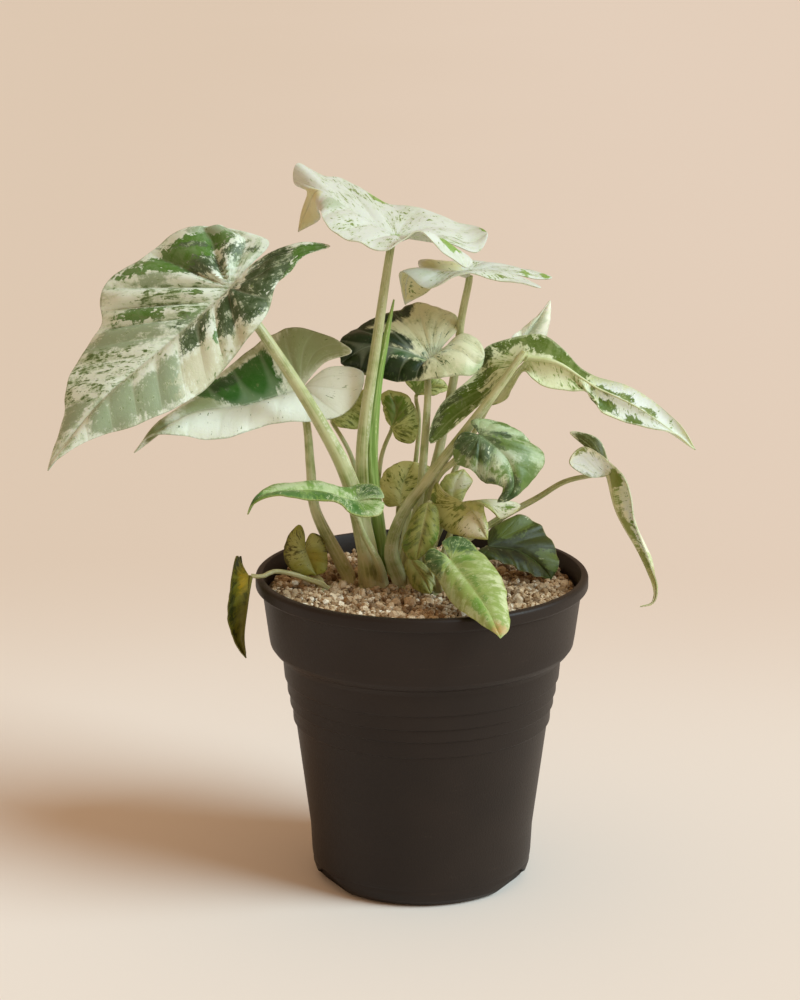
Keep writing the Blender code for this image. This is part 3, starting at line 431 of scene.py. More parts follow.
LEAVES = {
    "big_left": Leaf(
        midrib=((-67, -12, 220), (-90, -23, 201), (-111, -32, 184), (-129, -38, 161)),
        right=(
            (-60, -8, 228), (-54, 0, 235), (-70, 5, 238), (-86, 6, 237), (-99, 4, 228),
            (-112, -1, 217), (-114, -6, 206), (-121, -14, 193), (-125, -28, 177),
        ),
        left=(
            (-56, -11, 230), (-43, -14, 236), (-32, -15, 235), (-41, -17, 232), (-46, -18, 227),
            (-51, -20, 222), (-54, -24, 211), (-68, -28, 196), (-77, -32, 186), (-94, -36, 178),
            (-112, -38, 173), (-124, -39, 166),
        ),
        back=(3, 3), bulge=(1.5, 3.0), wave=(1.5, 3, 0.1), rows=22,
        stems="centre", radii=(3.6, 1.6),
        stalk=((-18, -1.5, 107), (-25, -6, 146), (-36, -8, 171), (-55, -12, 203)),
    ),
    "low_left": Leaf(
        midrib=((-43, 8, 180), (-63, 3, 175), (-83, -3, 173), (-102, -8, 160)),
        right=(
            (-35, 8, 189), (-25, 2, 195), (-42, 16, 200), (-58, 22, 195), (-71, 18, 184),
            (-82, 10, 177), (-93, 0, 170),
        ),
        left=(
            (-33, 6, 188), (-21, 5, 186), (-25, 2, 174), (-37, 1, 169), (-51, -3, 170), (-69, -9, 165),
            (-85, -11, 167), (-96, -10, 166),
        ),
        back=(2, 3), bulge=(2.0, 2.0), wave=(1.2, 3, 0.4), rows=16,
        stems="left", radii=(2.7, 1.2),
        stalk=((-27.5, 4.5, 107), (-27, 5, 111), (-38, 7, 134), (-40, 8, 150), (-41, 8, 164)),
    ),
    "top_white": Leaf(
        midrib=((-9, 0, 236), (-24, 4, 244), (-36, 8, 251), (-40, 12, 245), (-44, 15, 235)),
        right=(
            (8, 1, 234), (19, 3, 230), (23, 12, 235), (17, 19, 237), (6, 22, 240), (-14, 27, 245),
            (-32, 27, 253), (-41, 25, 257), (-45, 23, 258), (-45, 20, 252), (-41, 16, 250),
            (-42.5, 16, 244),
        ),
        left=(
            (7, -3, 234), (17, -5, 229), (15, -12, 227), (10, -15, 231), (4, -17, 236), (-2, -19, 240),
            (-8, -20, 238), (-17, -22, 235), (-28, -20, 239), (-34, -13, 244), (-36, -1, 245),
            (-37, 8, 240),
        ),
        back=(3, 3), bulge=(0.6, 1.6), wave=(1.0, 4, 0.2), rows=18,
        stems="centre", radii=(3.1, 1.4),
        stalk=((-20, 2, 107), (-21, 1, 138), (-21, 0, 163), (-16, 0, 199)),
    ),
    "top_right": Leaf(
        midrib=((17, 14, 221), (5, 13, 222), (-5, 12, 220), (-6, 14, 209)),
        right=(
            (33, 14, 220), (41, 16, 218), (46, 20, 218), (28, 28, 221), (12, 28, 222), (-1, 24, 223),
            (4, 20, 215),
        ),
        left=(
            (32, 12, 220), (40, 11, 217), (41, 4, 217), (28, 3, 220), (13, 0, 222), (1, 0, 218),
            (-8, 4, 222),
        ),
        back=(3, 3), bulge=(1.5, 1.5), wave=(0.8, 3, 0.0), rows=16,
        stems="right", radii=(2.2, 1.3),
        stalk=((-3, 5, 107), (1, 9, 131), (7, 12, 160), (12, 16, 185), (14, 16, 203)),
    ),
    "centre_dark": Leaf(
        midrib=((4, 10, 189), (-8, 9, 194), (-19, 9, 195), (-29, 8, 189)),
        right=(
            (8, 12, 195), (13, 16, 200), (12, 20, 204), (5, 25, 206), (-4, 26, 207), (-13, 22, 204),
            (-22, 17, 201), (-29, 11, 197),
        ),
        left=(
            (9, 11, 194), (14, 12, 199), (20, 10, 197), (22, 5, 192), (18, 1, 186), (6, -1, 186),
            (-3, 2, 183), (-13, 8, 183), (-24, 8, 186),
        ),
        back=(3, 4), bulge=(2.0, 3.0), wave=(1.0, 3, 0.5), rows=18,
        stems="right", radii=(2.0, 1.2),
        stalk=((-6, 4, 107), (-1, 6, 139), (1, 7, 161), (2, 8, 177)),
    ),
    "big_right": Leaf(
        midrib=((36, -6, 193), (47, -9, 192), (59, -11, 185), (76, -13, 177), (96, -16, 163)),
        right=(
            (17, 2, 172), (3, 2, 161), (6, 5, 174), (20, 9, 186), (23, 10, 195), (40, 10, 199),
            (50, 4, 195), (61, -5, 187), (77, -7, 182), (90, -13, 172),
        ),
        left=(
            (24, 2, 176), (30, -1, 178), (35, -6, 189), (42, -12, 185), (51, -14, 184), (59, -13, 183),
            (63, -15, 176), (76, -17, 172), (88, -17, 169),
        ),
        back=(5, 3), bulge=(1.5, 1.5), wave=(0.8, 4, 0.0), rows=22,
        stems="right", radii=(2.7, 1.3),
        stalk=((-7, 1, 107), (-11, -3, 123), (-7, -5, 137), (2, -6, 150), (24, -9, 180)),
    ),
    "small_dark": Leaf(
        midrib=((20, -18, 169), (29, -22, 162), (32, -25, 154), (30, -27, 149), (26, -27, 147)),
        right=(
            (14, -15, 169), (11, -17, 164), (12, -20, 159), (17, -22, 157), (22, -24, 153),
            (28, -26, 152),
        ),
        left=(
            (17, -14, 173), (24, -13, 173), (34, -13, 169), (43, -16, 160), (38, -22, 153),
            (33, -25, 149),
        ),
        back=(2, 2), bulge=(2.0, 2.0), wave=(0.8, 3, 0.3), rows=16,
        stems="right", radii=(1.9, 1.0),
        stalk=((-3, -1, 107), (-2, 0, 118), (4, -4, 147), (11, -9, 157), (17, -12, 163)),
    ),
    "far_right": Leaf(
        midrib=(
            (67, -4, 151.5), (70, -7, 138), (77.5, -9, 124), (82.6, -10, 112), (82.6, -10, 105.5),
            (78, -11, 104),
        ),
        right=(
            (60, -8, 151), (52, -11, 157), (57, -9, 162.5), (66, -7, 157), (72, -11, 150),
            (76, -12, 135), (81, -11.5, 120), (84, -10.8, 112), (83.3, -10.6, 105.8),
        ),
        left=(
            (60, 3, 158), (53, 7, 164), (63, 5, 162), (68, 3, 152), (74, 1, 140), (79, -3, 127),
            (83.4, -7, 115), (82.6, -9.4, 106),
        ),
        back=(3, 3), bulge=(1.0, 1.0), wave=(0.5, 3, 0.0), rows=16,
        stems="right", radii=(1.8, 0.8),
        stalk=(
            (-1, 2, 107), (10, 5, 120), (28, 3, 133), (41, 1, 141), (51, -2, 148), (62, -4, 151),
        ),
    ),
    "front_left": Leaf(
        midrib=(
            (-23, -18, 145), (-38, -22, 150), (-52, -26, 150), (-58, -28, 148), (-61, -29, 143),
        ),
        right=(
            (-18, -17.4, 145.8), (-13.6, -16.6, 145.8), (-16, -13, 149), (-22, -11, 149.5), (-29, -10, 148),
            (-40, -13, 151), (-52, -20, 151), (-58, -26, 149),
        ),
        left=(
            (-18, -19.4, 145.6), (-13.6, -20.4, 144.8), (-15, -26, 142), (-21, -28, 142), (-26, -29, 144),
            (-32, -30, 148), (-42, -31, 149), (-53, -31, 150), (-59, -30, 147),
        ),
        back=(2, 2), bulge=(1.0, 1.0), wave=(0.5, 3, 0.0), rows=16,
        stems="centre", radii=(1.6, 0.9),
        stalk=((-14, -2, 107), (-16, -8, 120), (-21, -11, 131), (-23, -15, 138)),
    ),
    "pot_left": Leaf(
        midrib=((-42, 1, 122), (-40, 0, 117), (-38, -1, 113)),
        right=((-42.4, 2, 128), (-44.5, 3, 130.5), (-49, 2, 125), (-49.4, 0, 118), (-45, -1, 113)),
        left=((-41.6, 2, 125), (-39.5, 3, 127.4), (-35.4, 3, 125), (-34, 1, 118), (-34.6, -1, 114.5)),
        back=(2, 2), bulge=(1.0, 1.0), wave=(0.3, 2, 0.0), rows=12,
        stems="side", radii=(1.3, 0.8),
        stalk=((-36, -1.5, 107), (-38, 2, 111), (-40, 4, 115)),
    ),
    "hanging_left": Leaf(
        midrib=((-62, -12, 116), (-63, -13, 105), (-64, -14, 94), (-63, -15, 86)),
        right=((-64, -9, 119), (-65, -8, 122), (-68, -7, 111), (-69, -8, 101), (-66, -12, 92)),
        left=((-64, -15, 121), (-66, -15, 124), (-68, -19, 114), (-69, -20, 105), (-67, -18, 93)),
        back=(2, 2), bulge=(1.0, 1.0), wave=(0.4, 2, 0.0), rows=12,
        stems="side", radii=(1.2, 0.8),
        stalk=((-34.5, -4, 107), (-41, -4.5, 112.4), (-47.4, -6, 115), (-53, -8, 116.3)),
    ),
    "front_right": Leaf(
        midrib=((10, -31, 127), (16, -47, 123), (22, -62, 118), (26, -71, 111)),
        right=(
            (7, -29, 129), (3, -26, 130), (1, -27, 127), (2, -31, 124), (6, -38, 121), (10, -50, 117),
            (17, -62, 115), (23, -69, 113),
        ),
        left=(
            (8, -28, 130), (7, -25, 132), (11, -22, 133), (16, -22, 132), (21, -28, 128),
            (27, -40, 124), (29, -56, 118), (29, -66, 113),
        ),
        back=(3, 3), bulge=(1.5, 1.5), wave=(0.5, 3, 0.3), rows=16,
        stems="front", radii=(1.6, 0.9),
        stalk=((7, -10, 107), (6, -16, 120), (8, -24, 124)),
    ),
    "pot_right": Leaf(
        midrib=((24, 6, 122), (34, 8, 120), (42, 8, 115), (47, 7, 109)),
        right=((20, 2, 121), (19, 1, 118), (27, 0, 118), (36, 1, 114), (42, 3, 111)),
        left=((24, 12, 125), (28, 16, 127), (37, 19, 130), (46, 18, 123), (50, 11, 114)),
        back=(2, 2), bulge=(1.0, 1.0), wave=(0.6, 5, 0.0), rows=14,
        stems="front", radii=(1.5, 0.9),
        stalk=((8, -6, 107), (13, 0, 116), (18, 4, 118)),
    ),
    "cream_front": Leaf(
        midrib=((14, -11, 143), (19, -17, 139), (23, -22, 132)),
        right=((8, -9, 146), (5, -8, 149), (3, -9, 141), (8, -13, 133), (16, -19, 132)),
        left=((26, -8, 143), (35, -5, 140), (28, -9, 136), (22, -16, 143), (23, -20, 137)),
        back=(2, 3), bulge=(1.5, 1.5), wave=(0.5, 3, 0.0), rows=14,
        stems="front", radii=(1.5, 0.9),
        stalk=((6, -6, 107), (8, -5, 123), (12, -7, 135)),
    ),
    "cream_up": Leaf(
        midrib=((11, -3, 142), (12, 0, 147), (15, 4, 151)),
        right=((14, -3, 141), (16, 0, 144), (18, 3, 147)),
        left=((8, -2, 142), (6, 0, 145), (9, 3, 149)),
        back=(1, 1), bulge=(0.8, 0.8), wave=(0.3, 2, 0.0), rows=10,
        stems="front", radii=(1.3, 0.8),
        stalk=((4, -6, 107), (4, -4, 123), (9, -2, 136)),
    ),
    "cream_low": Leaf(
        midrib=((2, -16, 144), (0, -19, 135), (-2, -20, 124)),
        right=((-1, -15, 142), (-5, -15, 135), (-7, -16, 128), (-5, -18, 124)),
        left=((5, -16, 142), (6, -18, 135), (4, -20, 129)),
        back=(1, 1), bulge=(1.0, 1.0), wave=(0.4, 2, 0.0), rows=12,
        stems="front", radii=(1.3, 0.8),
        stalk=((4, -8, 107), (1, -9, 123), (2, -10, 136)),
    ),
    "cream_curl": Leaf(
        midrib=((-5, -12, 123), (0, -15, 117), (3, -18, 111)),
        right=((-6, -11, 119), (-4, -13, 113), (0, -17, 111)),
        left=((0, -13, 121), (3, -14, 118), (4, -16, 114)),
        back=(1, 1), bulge=(0.8, 0.8), wave=(0.3, 2, 0.0), rows=10,
        stems="front", radii=(1.1, 0.7),
        stalk=((4, -10, 107), (-3, -10, 114)),
    ),
    "back_speckled": Leaf(
        midrib=((-11, 22, 162), (-9, 24, 168), (-12, 27, 175)),
        right=((-9, 20, 158), (-3, 21, 157), (-1, 23, 165), (-5, 26, 173)),
        left=((-13, 23, 165), (-14, 25, 169), (-15, 27, 173)),
        back=(2, 1), bulge=(1.0, 1.0), wave=(0.5, 2, 0.0), rows=10,
        stems="back", radii=(1.2, 0.7),
        stalk=((-12, 15, 107), (-16, 18, 128), (-15, 24, 149)),
    ),
    "back_cream": Leaf(
        midrib=((-32, 16, 166), (-26, 18, 170), (-19, 21, 176)),
        right=((-30, 15, 164), (-23, 17, 163), (-19, 20, 169)),
        left=((-34, 17, 167), (-29, 19, 171), (-22, 22, 176)),
        back=(1, 1), bulge=(1.0, 1.0), wave=(0.5, 2, 0.0), rows=10,
        stems="back", radii=(1.2, 0.7),
        stalk=((-13, 13, 107), (-21, 15, 137), (-26, 19, 153)),
    ),
    "back_round": Leaf(
        midrib=((-8, 13, 135), (-7, 16, 142), (-3, 19, 150)),
        right=((-4, 14, 134), (2, 17, 138), (4, 19, 147)),
        left=((-13, 14, 135), (-15, 16, 141), (-14, 18, 146), (-8, 19, 150)),
        back=(1, 1), bulge=(1.0, 1.0), wave=(0.5, 2, 0.0), rows=10,
        stems="back", radii=(1.2, 0.7),
        stalk=((-10, 12, 107), (-9, 18, 119)),
    ),
    "back_small": Leaf(
        midrib=((-2, 24, 174), (4, 26, 176), (10, 28, 175)),
        right=((1, 23, 174), (6, 24, 174)),
        left=((-6, 25, 179), (-1, 27, 181), (7, 28, 179)),
        back=(1, 1), bulge=(0.8, 0.8), wave=(0.3, 2, 0.0), rows=10,
        stems="back", radii=(1.2, 0.7),
        stalk=((-9, 14, 107), (-5, 20, 128), (-1, 27, 160)),
    ),
    "back_pale": Leaf(
        midrib=((35, 14, 194), (40, 16, 201), (46, 18, 210)),
        right=((39, 14, 193), (44, 15, 196), (46, 17, 204)),
        left=((32, 14, 197), (36, 16, 200), (42, 17, 205)),
        back=(1, 1), bulge=(0.8, 0.8), wave=(0.3, 2, 0.0), rows=10,
        stems="right", radii=(1.3, 0.8),
        stalk=((-1, 4, 107), (7, 9, 138), (21, 12, 167), (31, 14, 184)),
    ),
}

print("leaves:", len(LEAVES))

# %% [markdown]
# ## The surface of a blade
# Each half is a sheet of straight rulers, laid from the inner side to the edge: first across the back
# lobe, then from the midrib outwards, as the side veins of the real leaf run. A ruler's number is u and
# the place on it is v, so veins, splashes of colour and the quilting between the veins all become simple
# rules in u and v.


# %% One half of a blade by u and v
LOBE_SIDES = 1.2
MOST_LOBE = 0.5
AHEAD = 0.02
FOOT_POWER = 1.15
WAVE_SHIFT = 0.9
BOW_ENDS = 0.7
JOIN_LOOK = 0.08


def lobe_tip(leaf, half):
    """The number of the edge point at the back lobe's tip: the lobe's point farthest from the join."""
    lobe = np.array(leaf.edges[half][: leaf.back[half]], float)
    return int(np.linalg.norm(lobe - leaf.midrib[0], axis=1).argmax())


def half_lines(leaf, half):
    """The two sides of one half and where the join comes on them: (inner, shares, at), (outer, shares, at).

    The inner side runs from the lobe's tip along the notch to the join, and on along the midrib. The outer
    side runs from the lobe's tip along the edge. Both end at the leaf's tip.
    """
    edge, shares = smooth_through((leaf.midrib[0], *leaf.edges[half], leaf.midrib[-1]))
    corner = (lobe_tip(leaf, half) + 1) * CURVE_STEPS
    notch = edge[: corner + 1][::-1]
    outer = edge[corner:]
    midrib, midrib_shares = smooth_through(leaf.midrib)
    join_at = min(LOBE_SIDES * line_length(notch) / line_length(outer), MOST_LOBE)
    return (notch, midrib, midrib_shares), (outer, line_shares(outer), join_at)


def join_share(leaf):
    """How far from the lobes' tips to the leaf's tip the join comes, as a share of the blade's rows."""
    join_at = np.mean([half_lines(leaf, half)[1][2] for half in (0, 1)])
    return max(1, round(leaf.rows * join_at)) / leaf.rows


def half_blade(leaf, half, u, v):
    """Middle surface of a half (0 right, 1 left): u from the lobe's tip to the leaf's, v out to the edge."""
    (notch, midrib, midrib_shares), (outer, outer_shares, outer_join) = half_lines(leaf, half)
    join = join_share(leaf)
    back = np.clip(u / join, 0, 1)
    forward = np.clip((u - join) / (1 - join), 0, 1)
    foot = np.where(
        (u < join)[..., None],
        point_on(notch, line_shares(notch), back),
        point_on(midrib, midrib_shares, forward**FOOT_POWER),
    )
    around = outer_join * back + (1 - outer_join) * forward
    rim = point_on(outer, outer_shares, around)
    ahead = point_on(outer, outer_shares, np.minimum(around + AHEAD, 1)) - point_on(
        outer, outer_shares, np.maximum(around - AHEAD, 0)
    )
    up = unit(np.cross(rim - foot, ahead)) * (1 if half == 0 else -1)
    height, count, phase = leaf.wave
    ruffle = height * v**2 * np.sin(2 * math.pi * (count * u + phase) + WAVE_SHIFT * half)
    bow = 4 * leaf.bulge[half] * v * (1 - v)
    ends = np.sin(math.pi * np.clip(u, 0, 1)) ** BOW_ENDS
    return foot + v[..., None] * (rim - foot) + (ends * (bow + ruffle))[..., None] * up


def join_up(leaf):
    """The way the upper side looks at the join with the stalk."""
    join = join_share(leaf)
    near = np.array([join, join, join + JOIN_LOOK])
    total = np.zeros(3)
    for half in (0, 1):
        middle, out, ahead = half_blade(leaf, half, near, np.array([0.0, 0.25, 0.0]))
        total += unit(np.cross(out - middle, ahead - middle)) * (1 if half == 0 else -1)
    return unit(total)


big = LEAVES["big_left"]
print("the largest midrib is", round(line_length(smooth_through(big.midrib)[0])), "mm long")

# %% [markdown]
# ## The relief of a blade
# On the living leaf the side veins lie sunk in the upper side and the tissue between them puffs up like a
# quilt, the midrib runs in a groove, and the edge ripples. A modifier with a texture could do some of that,
# but it wouldn't follow the veins. Here each vertex is moved along the surface's own normal by a rule in u
# and v, before the sheet gets its thickness.

# %% Relief rules
VEIN_SPACING = 10.5
FEWEST_VEINS = 4
LOBE_VEINS = 4
QUILT_SHARE = 0.075
MOST_QUILT = 1.5
UNEVEN = 0.6
MIDRIB_GROOVE = 0.4
GROOVE_WIDTH = 1.3
SWELL_FROM_RIB = 5
SWELL_FROM_EDGE = 4
WIDE = 22.0
EDGE_RIPPLE = 2.7
RIPPLE_COUNTS = (5, 8, 13)
EDGE_NIBBLE = 0.5
NIBBLE_SHARE = 0.02
NIBBLE_COUNTS = (3, 6, 10)
RELIEF_ENDS = 0.6
# How strongly the right and the left half puff up, each on its lobe and past it.
PLAIN_PUFFS = ((0.6, 0.35), (0.6, 0.35))
PUFFS = {
    "big_left": ((2.0, 0.6), (0.7, 0.45)),
    "low_left": ((0.5, 0.6), (0.4, 0.3)),
    "centre_dark": ((0.5, 0.8), (0.6, 0.8)),
    "small_dark": ((0.8, 0.5), (0.6, 0.5)),
    "front_right": ((0.5, 0.5), (0.5, 0.6)),
    "pot_right": ((0.2, 0.15), (0.3, 0.2)),
    "front_left": ((0.3, 0.12), (0.3, 0.12)),
    "big_right": ((0.5, 0.3), (0.5, 0.3)),
    "back_pale": ((0.0, 0.0), (0.0, 0.0)),
}


def vein_count(leaf):
    """How many side veins run from the midrib on each side."""
    return max(FEWEST_VEINS, round(line_length(smooth_through(leaf.midrib)[0]) / VEIN_SPACING))


def blade_size(leaf):
    """The mean length of the edges past the lobes and the mean width of a half, in millimetres."""
    lengths, widths = [], []
    for half in (0, 1):
        u, v = np.meshgrid(np.linspace(0, 1, 60), np.linspace(0, 1, 7), indexing="ij")
        places = half_blade(leaf, half, u, v)
        lengths.append(line_length(places[:, -1]))
        widths.append(np.mean([line_length(row) for row in places]))
    return float(np.mean(lengths)), float(np.mean(widths))


def vein_field(leaf, u, v):
    """A number that is whole on each vein, and how far out from midrib and join a place is, as a share.

    In the back lobes the veins fan out from the join; past it they run from the midrib to the edge.
    """
    share = join_share(leaf)
    forward = np.clip((u - share) / (1 - share), 0, 1)
    behind = 1 - np.clip(u / share, 0, 1)
    fan = np.arctan2(v + 0.001, behind) * 2 / math.pi
    return vein_count(leaf) * forward + LOBE_VEINS * fan, np.hypot(v, behind)


def edge_reach(u, width, rng):
    """How far out the edge goes at u, as a share of the half: never past 1, a little in here and there."""
    nibble = np.zeros_like(u)
    for count in NIBBLE_COUNTS:
        nibble += np.sin(2 * math.pi * (count * u + rng.uniform())) / count**0.5
    return 1 - np.clip(min(EDGE_NIBBLE / width, NIBBLE_SHARE) * (0.5 + nibble), 0, 0.1)


def relief(leaf, puffs, u, v, width, rng):
    """How far the surface stands above the smooth blade at u and v; puffs are those of lobe and body."""
    phase, out = vein_field(leaf, u, v)
    share = join_share(leaf)
    ahead = np.clip((u - share) / (1 - share), 0, 1)
    strength = puffs[1] + (puffs[0] - puffs[1]) * np.clip(1.3 - 4 * ahead, 0, 1)
    ends = np.sin(math.pi * np.clip(u, 0, 1)) ** RELIEF_ENDS
    puff = 1 + UNEVEN * rng.uniform(-1, 1, vein_count(leaf) + LOBE_VEINS + 1)
    between = np.abs(np.sin(math.pi * phase)) ** 0.8 * puff[phase.astype(int)]
    swell = np.clip(out * width / SWELL_FROM_RIB, 0, 1) * np.clip((1 - v) * width / SWELL_FROM_EDGE, 0, 1)
    quilt = min(MOST_QUILT, QUILT_SHARE * width) * strength * (between - 0.5) * swell
    groove = -MIDRIB_GROOVE * np.exp(-((out * width / GROOVE_WIDTH) ** 2))
    ripple = np.zeros_like(u)
    for count in RIPPLE_COUNTS:
        ripple += np.sin(2 * math.pi * (count * u + rng.uniform())) * rng.uniform(0.3, 1) / count
    return ends * (quilt + groove + EDGE_RIPPLE * min(1, width / WIDE) * ripple * v**3)


print("side veins on the largest blade:", vein_count(big))
